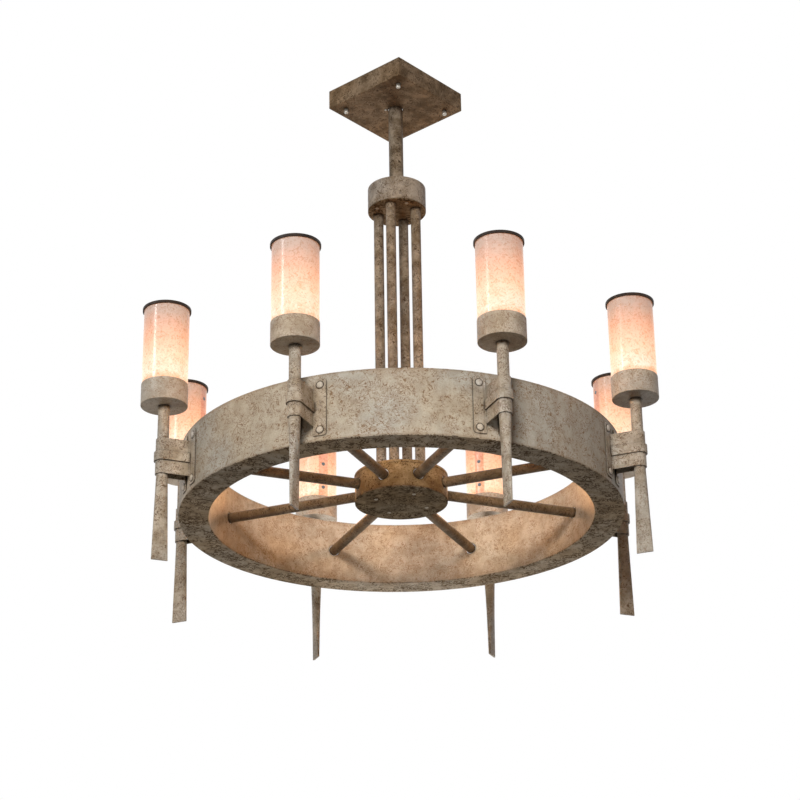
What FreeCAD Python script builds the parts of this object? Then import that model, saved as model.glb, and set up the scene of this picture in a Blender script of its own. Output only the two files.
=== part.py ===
"""A wagon wheel chandelier: eight torches around a spoked wheel that hangs from a square canopy.

The frame is in millimetres, with +Z up and the origin at the middle of the ceiling plane. Everything hangs
below it: canopy, stem, collar, four hanger tubes, hub, and the wheel with its torches. The wheel plane is the
level of the spokes' axes. Torch 1 stands at wheel_turn from +X, and the others follow every 45 degrees.
"""
import FreeCAD, Part
import Sketcher
import math
import os

V = FreeCAD.Vector
TORCHES = 8
HANGERS = 4
CANOPY_STUDS = 4
PLATE_SCREWS = 4
CIRCLE = 360.0
SCREW_HEAD_ROUND = 0.8  # share of a screw head's height that is rounded
RIVET_HEAD_ROUND = 0.9  # share of a rivet head's height that is rounded
HALF_CIRCLE_EASE = 1.000001  # keeps an arc's radius from falling short of half its chord
TOLERANCE = 0.01  # millimetres, for finding an edge by its place

# The angles, in degrees.
ANGLES = [
    ("canopy_turn", 3.65, "turn of the canopy's diagonals from the X and Y axes"),
    ("hanger_turn", -18.5, "turn of the hanger tubes from the X and Y axes"),
    ("wheel_turn", 22.5, "turn of the first spoke and torch from the X axis"),
    ("bulb_shoulder", 35.0, "below the middle of the bulb's globe, where its neck begins"),
]

# The driving dimensions, in millimetres.
DIMENSIONS = [
    ("fit_gap", 0.1, "radial gap of a part fixed in its hole"),
    ("slip_gap", 0.3, "radial gap of a part that lifts out of its seat"),
    ("canopy_side", 210.0, "outside of the square canopy"),
    ("canopy_height", 44.5, "depth of the canopy below the ceiling"),
    ("canopy_sheet", 1.5, "canopy wall"),
    ("canopy_hole_gap", 0.6, "radial gap between canopy and stem"),
    ("stud_reach", 109.8, "distance from the centre to each canopy stud"),
    ("stud_radius", 2.4, "canopy stud"),
    ("stud_head_radius", 4.5, "head of a canopy stud"),
    ("stud_head_height", 2.4, "head of a canopy stud"),
    ("stud_grip", 6.5, "length of stud inside its ball nut"),
    ("nut_ball_radius", 5.3, "ball nut under the canopy"),
    ("nut_neck_radius", 4.2, "face of the ball nut against the canopy"),
    ("nut_height", 12.0, "ball nut from canopy to tip"),
    ("setscrew_circle", 21.5, "distance of the small canopy screw from the centre"),
    ("setscrew_radius", 1.5, "shank of the small canopy screw"),
    ("setscrew_head_radius", 3.0, "head of the small canopy screw"),
    ("setscrew_head_height", 2.2, "head of the small canopy screw"),
    ("setscrew_length", 8.0, "shank of the small canopy screw"),
    ("crossbar_length", 118.0, "ceiling crossbar"),
    ("crossbar_width", 28.0, "ceiling crossbar"),
    ("crossbar_thickness", 3.0, "ceiling crossbar"),
    ("slot_spacing", 88.9, "between the two outlet box screws"),
    ("slot_length", 14.0, "outlet box screw slot, end to end"),
    ("slot_width", 4.8, "outlet box screw slot"),
    ("cross_width", 20.0, "arm of the stud cross"),
    ("cross_thickness", 3.0, "stud cross"),
    ("cross_margin", 9.0, "arm beyond its stud"),
    ("nipple_radius", 6.6, "threaded nipple"),
    ("nipple_wall", 2.1, "threaded nipple"),
    ("nipple_nut_flats", 19.0, "nipple locknut across flats"),
    ("nipple_nut_height", 5.0, "nipple locknut"),
    ("stem_recess", 18.0, "ceiling plane to the top of the stem"),
    ("plug_thickness", 12.0, "plug in the top of the stem"),
    ("stem_radius", 15.875, "stem"),
    ("stem_wall", 2.0, "stem"),
    ("stem_exposed", 204.0, "stem between canopy and collar"),
    ("stem_nut_flats", 42.0, "stem locknut across flats"),
    ("stem_nut_height", 8.0, "stem locknut"),
    ("stem_end", 3.0, "stem beyond its locknut"),
    ("collar_radius", 63.5, "collar"),
    ("collar_height", 56.5, "collar with its bottom plate"),
    ("collar_sheet", 2.0, "collar wall"),
    ("collar_plate_thickness", 2.5, "collar bottom plate"),
    ("collar_screw_circle", 48.0, "collar screws from the centre"),
    ("plate_screw_radius", 2.0, "screws of the collar and hub plates"),
    ("plate_screw_head_radius", 3.9, "screws of the collar and hub plates"),
    ("plate_screw_head_height", 2.4, "screws of the collar and hub plates"),
    ("plate_screw_grip", 8.0, "length of a plate screw in its post"),
    ("post_radius", 5.0, "screw post"),
    ("hanger_circle", 42.7, "hanger tubes from the centre"),
    ("hanger_exposed", 621.0, "hanger tube between collar and hub"),
    ("tube_radius", 10.65, "hanger tubes and spokes"),
    ("tube_wall", 1.65, "hanger tubes and spokes"),
    ("tube_nut_flats", 30.0, "locknut of a hanger tube or spoke, across flats"),
    ("tube_nut_height", 6.0, "locknut of a hanger tube or spoke"),
    ("tube_end", 4.0, "tube beyond its locknut"),
    ("hub_radius", 96.0, "hub drum"),
    ("hub_sheet", 2.0, "hub drum wall"),
    ("hub_drum_height", 51.0, "hub drum between lid and base plate"),
    ("hub_lid_thickness", 5.5, "hub lid"),
    ("hub_lid_lip", 1.2, "hub lid beyond the drum"),
    ("hub_lid_round", 1.5, "rounded top edge of the hub lid"),
    ("hub_base_thickness", 3.0, "hub base plate"),
    ("hub_screw_circle", 58.0, "hub screws from the centre"),
    ("spoke_drop", 23.5, "underside of the hub lid to the spokes' axes"),
    ("spoke_gap", 1.4, "radial gap around a spoke in the hub and in the rim's inner band"),
    ("rim_radius", 457.2, "outside of the rim"),
    ("rim_width", 61.2, "rim, outer face to inner face"),
    ("rim_height", 138.0, "rim, bottom face to top face"),
    ("rim_sheet", 2.0, "rim sheet"),
    ("wire_hole_radius", 5.0, "hole in the rim behind each torch"),
    ("torch_standoff", 54.9, "rim's outer face to the torch's axis"),
    ("torch_radius", 11.6, "torch stem tube"),
    ("torch_wall", 1.5, "torch stem tube"),
    ("torch_grip", 6.0, "torch stem inside its lampholder"),
    ("blade_drop", 215.5, "wheel plane to the foot of the torch"),
    ("blade_width", 33.5, "flattened foot of the torch, radially"),
    ("blade_thickness", 4.0, "flattened foot of the torch"),
    ("blade_start", 40.0, "wheel plane to the start of the flattening"),
    ("strap_height", 75.0, "bracket strap"),
    ("strap_sheet", 2.4, "bracket strap"),
    ("strap_bend", 2.5, "inside radius where a strap leg turns into its flange"),
    ("flange_height", 115.0, "bracket flange"),
    ("flange_reach", 39.0, "bracket flange, from the torch's mid-plane"),
    ("flange_corner", 5.0, "rounded corners of a bracket flange"),
    ("band_height", 19.0, "wrap band"),
    ("band_sheet", 3.0, "wrap band"),
    ("rivet_spacing", 92.0, "between the two rivets of a flange"),
    ("rivet_offset", 27.0, "rivets from the torch's mid-plane"),
    ("rivet_radius", 2.5, "rivet shank"),
    ("rivet_head_radius", 6.8, "rivet head"),
    ("rivet_head_height", 3.4, "rivet head"),
    ("rivet_tail_radius", 4.0, "rivet tail inside the rim"),
    ("rivet_tail_height", 1.5, "rivet tail inside the rim"),
    ("cup_rise", 110.0, "wheel plane to the underside of a cup"),
    ("cup_radius", 47.4, "cup"),
    ("cup_height", 46.6, "cup"),
    ("cup_sheet", 0.8, "cup"),
    ("cup_edge", 1.2, "rounded lower edge of a cup"),
    ("shade_height", 213.0, "shade"),
    ("shade_sheet", 0.8, "shade"),
    ("seam_width", 20.0, "overlap of the rolled shade"),
    ("trim_lap", 3.3, "trim ring beyond the shade"),
    ("trim_height", 6.0, "trim ring"),
    ("trim_cap", 1.5, "trim ring above the shade's edge"),
    ("trim_lip", 1.2, "trim ring inside the shade"),
    ("holder_radius", 18.0, "lampholder"),
    ("holder_height", 42.0, "lampholder"),
    ("holder_depth", 28.0, "screw shell of the lampholder"),
    ("bulb_base_radius", 13.0, "screw base of the bulb"),
    ("bulb_base_height", 27.0, "screw base of the bulb"),
    ("bulb_tip_radius", 4.3, "contact at the tip of the bulb"),
    ("bulb_tip_height", 2.2, "contact at the tip of the bulb"),
    ("bulb_globe_radius", 24.0, "glass of the bulb"),
    ("bulb_height", 89.0, "bulb from tip to top"),
]

doc = FreeCAD.newDocument("wagon_wheel_chandelier")
sheet = doc.addObject("Spreadsheet::Sheet", "Sizes")
for row, (alias, value, note) in enumerate(ANGLES + DIMENSIONS, start=1):
    sheet.set(f"A{row}", alias)
    sheet.set(f"B{row}", str(value))
    sheet.set(f"C{row}", note)
    sheet.setAlias(f"B{row}", alias)
doc.recompute()

ALIASES = {alias for alias, _, _ in ANGLES + DIMENSIONS}


def bound(formula):
    """The formula with every dimension's name written as a reference to the sheet."""
    words = []
    word = ""
    for letter in str(formula) + " ":
        if letter.isalnum() or letter == "_":
            word += letter
            continue
        words.append(f"Sizes.{word}" if word in ALIASES else word)
        words.append(letter)
        word = ""
    return "".join(words).strip()


def value_of(formula):
    """The number that a formula of the sheet's dimensions gives."""
    result = sheet.evalExpression(bound(formula))
    return float(getattr(result, "Value", result))


# Levels of the assembly, as formulas of the sheet.
CANOPY_BASE = "-canopy_height"
COLLAR_TOP = "(-canopy_height - stem_exposed)"
COLLAR_BASE = f"({COLLAR_TOP} - collar_height)"
LID_TOP = f"({COLLAR_BASE} - hanger_exposed)"
DRUM_TOP = f"({LID_TOP} - hub_lid_thickness)"
WHEEL = f"({DRUM_TOP} - spoke_drop)"
DRUM_BASE = f"({DRUM_TOP} - hub_drum_height)"

# Radii and places that several pieces share.
TORCH_AXIS = "(rim_radius + torch_standoff)"
FLANGE_FACE = "(rim_radius + strap_sheet)"
STRAP_INSIDE = "(torch_radius + fit_gap)"
STRAP_OUTSIDE = f"({STRAP_INSIDE} + strap_sheet)"
RIM_INSIDE = "(rim_radius - rim_width)"
SHADE_RADIUS = "(cup_radius - cup_sheet - slip_gap)"
CUP_FLOOR = "(cup_rise + cup_sheet)"
HOLDER_SHELL = "(bulb_base_radius + slip_gap)"
RIVET_SWING = f"asin(rivet_offset / {FLANGE_FACE})"


def plane(body, role):
    """One of the body's own origin planes or axes, found by its role."""
    return [item for item in body.Origin.OriginFeatures if item.Role == role][0]


def arc_centre(start, end, radius):
    """Centre of the arc under a half circle from start to end, anticlockwise if radius is positive."""
    chord = end - start
    middle = (start + end) * 0.5
    half = chord.Length / 2
    height = math.sqrt(max(radius * radius - half * half, 0.0))
    side = V(-chord.y, chord.x, 0).normalize() * height
    return middle + side if radius > 0 else middle - side


def add_circle(sketch, centre_x, centre_y, radius):
    """A circle whose centre and radius are bound to the sheet."""
    centre = V(value_of(centre_x), value_of(centre_y), 0)
    edge = sketch.addGeometry(Part.Circle(centre, V(0, 0, 1), value_of(radius)))
    bind(sketch, "DistanceX", edge, 3, centre_x)
    bind(sketch, "DistanceY", edge, 3, centre_y)
    index = sketch.addConstraint(Sketcher.Constraint("Radius", edge, value_of(radius)))
    sketch.setExpression(f"Constraints[{index}]", bound(radius))


def bind(sketch, kind, edge, point, formula):
    """Holds one coordinate of a sketch point at a formula of the sheet, measured from the origin."""
    rule = Sketcher.Constraint(kind, -1, 1, edge, point, value_of(formula))
    index = sketch.addConstraint(rule)
    sketch.setExpression(f"Constraints[{index}]", bound(formula))


def add_outline(sketch, path):
    """A closed outline. Each point is (x, y) or (x, y, radius): the radius makes the next edge an arc."""
    corners = [V(value_of(point[0]), value_of(point[1]), 0) for point in path]
    ends = []
    for index, point in enumerate(path):
        start = corners[index]
        end = corners[(index + 1) % len(path)]
        if len(point) == 2:
            edge = sketch.addGeometry(Part.LineSegment(start, end))
            ends.append((edge, 1, 2))
            continue
        radius = value_of(point[2])
        centre = arc_centre(start, end, radius)
        first = math.atan2(start.y - centre.y, start.x - centre.x)
        last = math.atan2(end.y - centre.y, end.x - centre.x)
        if radius < 0:
            first, last = last, first
        if last <= first:
            last += 2 * math.pi
        circle = Part.Circle(centre, V(0, 0, 1), abs(radius))
        edge = sketch.addGeometry(Part.ArcOfCircle(circle, first, last))
        ends.append((edge, 1, 2) if radius > 0 else (edge, 2, 1))
        rule = sketch.addConstraint(Sketcher.Constraint("Radius", edge, abs(radius)))
        sketch.setExpression(f"Constraints[{rule}]", bound(f"abs({point[2]})"))
    for index, point in enumerate(path):
        edge, first, last = ends[index]
        following = ends[(index + 1) % len(path)]
        sketch.addConstraint(Sketcher.Constraint("Coincident", edge, last, following[0], following[1]))
        bind(sketch, "DistanceX", edge, first, point[0])
        bind(sketch, "DistanceY", edge, first, point[1])


def new_body(name, height="0", turn="0", reach="0"):
    """A body at a height on the axis, or at a reach from it, turned about the axis."""
    body = doc.addObject("PartDesign::Body", name)
    body.Label = name
    body.AllowCompound = True
    stand(body, height, turn, reach)
    return body


def stand(piece, height="0", turn="0", reach="0"):
    """Places a piece at a reach from the axis, at a height and turned about the axis."""
    piece.setExpression("Placement.Base.x", bound(f"({reach}) * cos(({turn}) * 1 deg)"))
    piece.setExpression("Placement.Base.y", bound(f"({reach}) * sin(({turn}) * 1 deg)"))
    piece.setExpression("Placement.Base.z", bound(height))
    piece.setExpression("Placement.Rotation.Angle", bound(f"({turn})"))


def new_sketch(body, role, circles=(), outlines=(), offset="0", swing=None):
    """A sketch on one of the body's planes, moved along the plane's normal by offset. Swing turns an upright
    sketch about the body's axis, and the offset then follows its new normal."""
    sketch = body.newObject("Sketcher::SketchObject", body.Name + "_sketch")
    sketch.AttachmentSupport = [(plane(body, role), "")]
    sketch.MapMode = "FlatFace"
    if swing is None:
        sketch.setExpression("AttachmentOffset.Base.z", bound(offset))
    else:
        turn = FreeCAD.Rotation(V(0, 1, 0), value_of(swing))
        sketch.AttachmentOffset = FreeCAD.Placement(V(0, 0, 0), turn)
        sketch.setExpression("AttachmentOffset.Rotation.Angle", bound(swing))
        sketch.setExpression("AttachmentOffset.Base.x", bound(f"({offset}) * sin({swing})"))
        sketch.setExpression("AttachmentOffset.Base.z", bound(f"({offset}) * cos({swing})"))
    for circle in circles:
        add_circle(sketch, *circle)
    for outline in outlines:
        add_outline(sketch, outline)
    return sketch


def pad(body, sketch, length, reverse=False, middle=False):
    """Extrudes a sketch into the body."""
    feature = body.newObject("PartDesign::Pad", body.Name + "_pad")
    feature.Profile = sketch
    feature.setExpression("Length", bound(length))
    feature.Reversed = reverse
    feature.Midplane = middle
    return finish(body, feature)


def pocket(body, sketch, length=None, reverse=False, middle=False):
    """Cuts a sketch out of the body, through all of it if no length is given."""
    before = body.Tip.Shape.Volume
    faces = len(body.Tip.Shape.Faces)
    feature = body.newObject("PartDesign::Pocket", body.Name + "_pocket")
    feature.Profile = sketch
    feature.Reversed = reverse
    feature.Midplane = middle
    if length is None:
        feature.Type = "ThroughAll"
    else:
        feature.setExpression("Length", bound(length))
    finish(body, feature)
    if feature.Shape.Volume >= before and len(feature.Shape.Faces) == faces:
        raise RuntimeError(f"{body.Label}: a pocket cuts nothing")
    return feature


def revolve(body, sketch):
    """Turns a sketch about its own vertical axis, which is the body's axis."""
    feature = body.newObject("PartDesign::Revolution", body.Name + "_revolution")
    feature.Profile = sketch
    feature.ReferenceAxis = (sketch, ["V_Axis"])
    feature.Angle = CIRCLE
    return finish(body, feature)


def fillet(body, radius, wanted):
    """Rounds the edges of the body's last feature that the test picks."""
    base = body.Tip
    names = [f"Edge{number}" for number, edge in enumerate(base.Shape.Edges, start=1) if wanted(edge)]
    if not names:
        raise RuntimeError(f"{body.Label}: no edge to round")
    feature = body.newObject("PartDesign::Fillet", body.Name + "_fillet")
    feature.Base = (base, names)
    feature.setExpression("Radius", bound(radius))
    return finish(body, feature)


def repeat(body, count, *features):
    """Repeats some features, or the whole piece if none is named, evenly about the assembly's axis."""
    pattern = body.newObject("PartDesign::PolarPattern", body.Name + "_pattern")
    if features:
        pattern.Originals = list(features)
    else:
        pattern.TransformMode = "Whole shape"
    pattern.Axis = (plane(body, "Z_Axis"), [""])
    pattern.Angle = CIRCLE
    pattern.Occurrences = count
    return finish(body, pattern)


def finish(body, feature):
    """Makes a feature the body's tip and works it out."""
    body.Tip = feature
    doc.recompute()
    if not feature.isValid():
        raise RuntimeError(f"{body.Label}: {feature.Name} failed")
    return feature


def hexagon(flats, centre_x="0", centre_y="0"):
    """The outline of a hexagon, from its width across flats."""
    corner = f"({flats}) / sqrt(3)"
    points = [(1, 0), (0.5, 1), (-0.5, 1), (-1, 0), (-0.5, -1), (0.5, -1)]
    return [(f"{centre_x} + {x} * {corner}", f"{centre_y} + {y} * ({flats}) / 2") for x, y in points]


def stadium(length, width, centre_x="0"):
    """The outline of a bar with round ends, along X."""
    reach = f"(({length}) - ({width})) / 2"
    half = f"({width}) / 2"
    return [
        (f"{centre_x} - {reach}", f"-{half}"),
        (f"{centre_x} + {reach}", f"-{half}", f"{half} * {HALF_CIRCLE_EASE}"),
        (f"{centre_x} + {reach}", half),
        (f"{centre_x} - {reach}", half, f"{half} * {HALF_CIRCLE_EASE}"),
    ]


def rectangle(left, bottom, right, top):
    """The outline of a rectangle."""
    return [(left, bottom), (right, bottom), (right, top), (left, top)]


def tube(name, outer, wall, length, height="0", turn="0", reach="0"):
    """A straight upright tube, as a cylinder with a bore."""
    rod = doc.addObject("Part::Cylinder", name + "_rod")
    rod.setExpression("Radius", bound(outer))
    rod.setExpression("Height", bound(length))
    bore = doc.addObject("Part::Cylinder", name + "_bore")
    bore.setExpression("Radius", bound(f"{outer} - {wall}"))
    bore.setExpression("Height", bound(length))
    piece = doc.addObject("Part::Cut", name)
    piece.Base = rod
    piece.Tool = bore
    piece.Label = name
    stand(piece, height, turn, reach)
    doc.recompute()
    return piece


def level_edge(height, radius):
    """Picks a circular edge by its level and radius, both formulas of the sheet."""
    level = value_of(height)
    wanted = value_of(radius)

    def test(edge):
        box = edge.BoundBox
        flat = box.ZLength < TOLERANCE and abs(box.ZMax - level) < TOLERANCE
        return flat and isinstance(edge.Curve, Part.Circle) and abs(edge.Curve.Radius - wanted) < TOLERANCE
    return test


# Ceiling fixing: the crossbar on the outlet box, and the cross of arms that carries the canopy's studs.

def make_crossbar():
    """A flat bar with two slots for the outlet box screws and a hole for the nipple."""
    body = new_body("mounting_crossbar", "-crossbar_thickness")
    outlines = [stadium("crossbar_length", "crossbar_width")]
    outlines += [stadium("slot_length", "slot_width", f"{side} * slot_spacing / 2") for side in (-1, 1)]
    flat = new_sketch(body, "XY_Plane", [("0", "0", "nipple_radius + fit_gap")], outlines)
    pad(body, flat, "crossbar_thickness")
    return body


def make_stud_cross():
    """Two crossed flat arms along the canopy's diagonals, with a stud hole near each end."""
    body = new_body("stud_cross", "-crossbar_thickness - cross_thickness", "canopy_turn")
    arm = "(stud_reach + cross_margin)"
    half = "cross_width / 2"
    quarter = [(arm, f"-{half}"), (arm, half), (half, half)]
    outline = []
    for turn in range(4):
        for x, y in quarter:
            corners = [(x, y), (f"-({y})", x), (f"-({x})", f"-({y})"), (y, f"-({x})")]
            outline.append(corners[turn])
    holes = [("0", "0", "nipple_radius + fit_gap")]
    for x, y in ((1, 0), (0, 1), (-1, 0), (0, -1)):
        holes.append((f"{x} * stud_reach", f"{y} * stud_reach", "stud_radius + fit_gap"))
    flat = new_sketch(body, "XY_Plane", holes, [outline])
    pad(body, flat, "cross_thickness")
    return body


def make_studs():
    """Four long screws: their heads lie on the stud cross and their ends reach through the canopy."""
    body = new_body("canopy_studs", "-crossbar_thickness", "canopy_turn")
    shank = new_sketch(body, "XY_Plane", [("stud_reach", "0", "stud_radius")])
    pad(body, shank, "canopy_height - crossbar_thickness + stud_grip", reverse=True)
    head = new_sketch(body, "XY_Plane", [("stud_reach", "0", "stud_head_radius")])
    pad(body, head, "stud_head_height")
    repeat(body, CANOPY_STUDS)
    return body


def make_nipple_nut():
    """The hexagon nut under the stud cross."""
    body = new_body("nipple_locknut", "-crossbar_thickness - cross_thickness - nipple_nut_height")
    flat = new_sketch(body, "XY_Plane", [("0", "0", "nipple_radius + fit_gap")],
                      [hexagon("nipple_nut_flats")])
    pad(body, flat, "nipple_nut_height")
    return body


def make_plug():
    """The disc fixed in the top of the stem, which the nipple screws into."""
    body = new_body("stem_top_plug", "-stem_recess - plug_thickness")
    flat = new_sketch(body, "XY_Plane", [("0", "0", "stem_radius - stem_wall - fit_gap"),
                                         ("0", "0", "nipple_radius + fit_gap")])
    pad(body, flat, "plug_thickness")
    return body


# Canopy: the square pan against the ceiling, held by four ball nuts.

def make_canopy():
    """A square pan, open at the top, with holes for the stem, the studs and a small screw."""
    body = new_body("canopy", CANOPY_BASE, "canopy_turn + 45")
    half = "canopy_side / 2"
    outside = new_sketch(body, "XY_Plane", outlines=[rectangle(f"-{half}", f"-{half}", half, half)])
    pad(body, outside, "canopy_height")
    upright = value_of("canopy_height") - TOLERANCE
    fillet(body, "canopy_sheet", lambda edge: edge.BoundBox.ZLength > upright)
    inner = "(canopy_side / 2 - canopy_sheet)"
    hollow = new_sketch(body, "XY_Plane", outlines=[rectangle(f"-{inner}", f"-{inner}", inner, inner)],
                        offset="canopy_sheet")
    pocket(body, hollow, "canopy_height - canopy_sheet", reverse=True)
    reach = "stud_reach * sqrt(0.5)"
    holes = [("0", "0", "stem_radius + canopy_hole_gap")]
    for x, y in ((1, 1), (-1, 1), (-1, -1), (1, -1)):
        holes.append((f"{x} * {reach}", f"{y} * {reach}", "stud_radius + slip_gap"))
    side = "setscrew_circle * sqrt(0.5)"
    holes.append((f"-{side}", side, "setscrew_radius + fit_gap"))
    pocket(body, new_sketch(body, "XY_Plane", holes), middle=True)
    return body


def make_canopy_nuts():
    """Four ball nuts under the canopy, each with a blind hole for its stud."""
    body = new_body("canopy_nuts", CANOPY_BASE, "canopy_turn")
    waist = "(nut_height - nut_ball_radius)"
    ball = new_sketch(body, "XY_Plane", [("stud_reach", "0", "nut_neck_radius")])
    pad(body, ball, waist, reverse=True)
    knob = body.newObject("PartDesign::AdditiveSphere", "canopy_nuts_ball")
    knob.setExpression("Radius", bound("nut_ball_radius"))
    knob.AttachmentSupport = [(plane(body, "XY_Plane"), "")]
    knob.MapMode = "FlatFace"
    knob.setExpression("AttachmentOffset.Base.x", bound("stud_reach"))
    knob.setExpression("AttachmentOffset.Base.z", bound(f"-{waist}"))
    finish(body, knob)
    bore = new_sketch(body, "XY_Plane", [("stud_reach", "0", "stud_radius + fit_gap")])
    pocket(body, bore, "stud_grip + fit_gap")
    repeat(body, CANOPY_STUDS)
    return body


def make_canopy_screw():
    """The small screw through the canopy, beside the stem."""
    body = new_body("canopy_screw", CANOPY_BASE, "canopy_turn + 180")
    shank = new_sketch(body, "XY_Plane", [("setscrew_circle", "0", "setscrew_radius")])
    pad(body, shank, "setscrew_length")
    head = new_sketch(body, "XY_Plane", [("setscrew_circle", "0", "setscrew_head_radius")])
    pad(body, head, "setscrew_head_height", reverse=True)
    fillet(body, f"setscrew_head_height * {SCREW_HEAD_ROUND}",
           level_edge("-setscrew_head_height", "setscrew_head_radius"))
    return body


# Collar: the drum where one stem becomes four hanger tubes.

def make_stem_nut():
    """The hexagon nut that holds the stem inside the collar."""
    body = new_body("stem_locknut", f"{COLLAR_TOP} - collar_sheet - stem_nut_height")
    flat = new_sketch(body, "XY_Plane", [("0", "0", "stem_radius + fit_gap")], [hexagon("stem_nut_flats")])
    pad(body, flat, "stem_nut_height")
    return body


def add_posts(body, circle, length, offset="0"):
    """Four screw posts that hang from a plate, each with a blind hole in its lower end."""
    place = (f"{circle} * sqrt(0.5)", f"{circle} * sqrt(0.5)")
    rods = new_sketch(body, "XY_Plane", [place + ("post_radius",)], offset=offset)
    rod = pad(body, rods, length, reverse=True)
    repeat(body, PLATE_SCREWS, rod)
    holes = new_sketch(body, "XY_Plane", [place + ("plate_screw_radius + fit_gap",)],
                       offset=f"{offset} - ({length})")
    hole = pocket(body, holes, "plate_screw_grip + fit_gap", reverse=True)
    repeat(body, PLATE_SCREWS, hole)


def corner_holes(circle, radius):
    """Four holes of a plate, half way between the hanger tubes."""
    reach = f"{circle} * sqrt(0.5)"
    return [(f"{x} * {reach}", f"{y} * {reach}", radius) for x, y in ((1, 1), (-1, 1), (-1, -1), (1, -1))]


def hanger_holes():
    """Four holes of a plate for the hanger tubes."""
    return [(f"{x} * hanger_circle", f"{y} * hanger_circle", "tube_radius + fit_gap")
            for x, y in ((1, 0), (0, 1), (-1, 0), (0, -1))]


def make_collar_body():
    """A spun drum, open below, with a hole for the stem and four posts for the plate's screws."""
    body = new_body("collar_body", COLLAR_TOP, "hanger_turn")
    skirt = "-(collar_height - collar_plate_thickness)"
    profile = [
        ("stem_radius + fit_gap", "0"),
        ("stem_radius + fit_gap", "-collar_sheet"),
        ("collar_radius - collar_sheet", "-collar_sheet"),
        ("collar_radius - collar_sheet", skirt),
        ("collar_radius", skirt),
        ("collar_radius", "0"),
    ]
    revolve(body, new_sketch(body, "XZ_Plane", outlines=[profile]))
    fillet(body, "collar_sheet / 2", level_edge("0", "collar_radius"))
    add_posts(body, "collar_screw_circle", "collar_height - collar_plate_thickness - collar_sheet",
              "-collar_sheet")
    return body


def make_collar_plate():
    """The disc under the collar: the hanger tubes pass through it."""
    body = new_body("collar_plate", COLLAR_BASE, "hanger_turn")
    holes = hanger_holes() + corner_holes("collar_screw_circle", "plate_screw_radius + fit_gap")
    pad(body, new_sketch(body, "XY_Plane", [("0", "0", "collar_radius")] + holes), "collar_plate_thickness")
    return body


def make_plate_screws(name, height, circle, thickness):
    """Four round-headed screws below a plate, reaching into its posts."""
    body = new_body(name, height, "hanger_turn + 45")
    pad(body, new_sketch(body, "XY_Plane", [(circle, "0", "plate_screw_radius")]),
        f"{thickness} + plate_screw_grip")
    pad(body, new_sketch(body, "XY_Plane", [(circle, "0", "plate_screw_head_radius")]),
        "plate_screw_head_height", reverse=True)
    fillet(body, f"plate_screw_head_height * {SCREW_HEAD_ROUND}",
           level_edge("-plate_screw_head_height", "plate_screw_head_radius"))
    repeat(body, PLATE_SCREWS)
    return body


def make_hanger_tubes():
    """Four straight tubes from inside the collar to inside the hub."""
    top = f"({COLLAR_BASE} + collar_plate_thickness + tube_nut_height + tube_end)"
    foot = f"({DRUM_TOP} - tube_nut_height - tube_end)"
    tubes = []
    for number in range(HANGERS):
        turn = f"hanger_turn + {number * CIRCLE / HANGERS}"
        tubes.append(tube(f"hanger_tube_{number + 1}", "tube_radius", "tube_wall", f"{top} - {foot}",
                          foot, turn, "hanger_circle"))
    return tubes


def make_hanger_nuts():
    """Eight hexagon nuts: above the collar plate and below the hub lid."""
    body = new_body("hanger_locknuts", COLLAR_BASE, "hanger_turn")
    for level in ("collar_plate_thickness", f"{DRUM_TOP} - {COLLAR_BASE} - tube_nut_height"):
        flat = new_sketch(body, "XY_Plane", [("hanger_circle", "0", "tube_radius + fit_gap")],
                          [hexagon("tube_nut_flats", "hanger_circle")], level)
        pad(body, flat, "tube_nut_height")
    repeat(body, HANGERS)
    return body


# Hub: the drum at the middle of the wheel.

def make_hub_drum():
    """The rolled wall of the hub, with eight spoke holes that the tubes pass through freely."""
    body = new_body("hub_drum", DRUM_BASE, "wheel_turn")
    wall = new_sketch(body, "XY_Plane", [("0", "0", "hub_radius"), ("0", "0", "hub_radius - hub_sheet")])
    pad(body, wall, "hub_drum_height")
    hole = new_sketch(body, "YZ_Plane", [("0", "hub_drum_height - spoke_drop", "tube_radius + spoke_gap")])
    repeat(body, TORCHES, pocket(body, hole, reverse=True))
    return body


def make_hub_lid():
    """The disc on top of the hub, a little wider than the drum, with posts for the base plate's screws."""
    body = new_body("hub_lid", DRUM_TOP, "hanger_turn")
    disc = new_sketch(body, "XY_Plane", [("0", "0", "hub_radius + hub_lid_lip")] + hanger_holes())
    pad(body, disc, "hub_lid_thickness")
    fillet(body, "hub_lid_round", level_edge("hub_lid_thickness", "hub_radius + hub_lid_lip"))
    add_posts(body, "hub_screw_circle", "hub_drum_height")
    return body


def make_hub_base():
    """The flat disc under the hub."""
    body = new_body("hub_base_plate", f"{DRUM_BASE} - hub_base_thickness", "hanger_turn")
    holes = corner_holes("hub_screw_circle", "plate_screw_radius + fit_gap")
    pad(body, new_sketch(body, "XY_Plane", [("0", "0", "hub_radius")] + holes), "hub_base_thickness")
    return body


# Wheel: eight spokes and the hollow rim of four rolled sheets.

NUT_IN_HUB = "(sqrt(pow(hub_radius - hub_sheet; 2) - pow(tube_nut_flats; 2) / 3) - tube_nut_height)"
NUT_IN_RIM = f"({RIM_INSIDE} + rim_sheet)"


def make_spokes():
    """Eight straight tubes from inside the hub to inside the rim."""
    body = new_body("spokes", WHEEL, "wheel_turn")
    ring = [("0", "0", "tube_radius"), ("0", "0", "tube_radius - tube_wall")]
    start = f"({NUT_IN_HUB} - tube_end)"
    end = f"({NUT_IN_RIM} + tube_nut_height + tube_end)"
    pad(body, new_sketch(body, "YZ_Plane", ring, offset=start), f"{end} - {start}")
    repeat(body, TORCHES)
    return body


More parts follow.
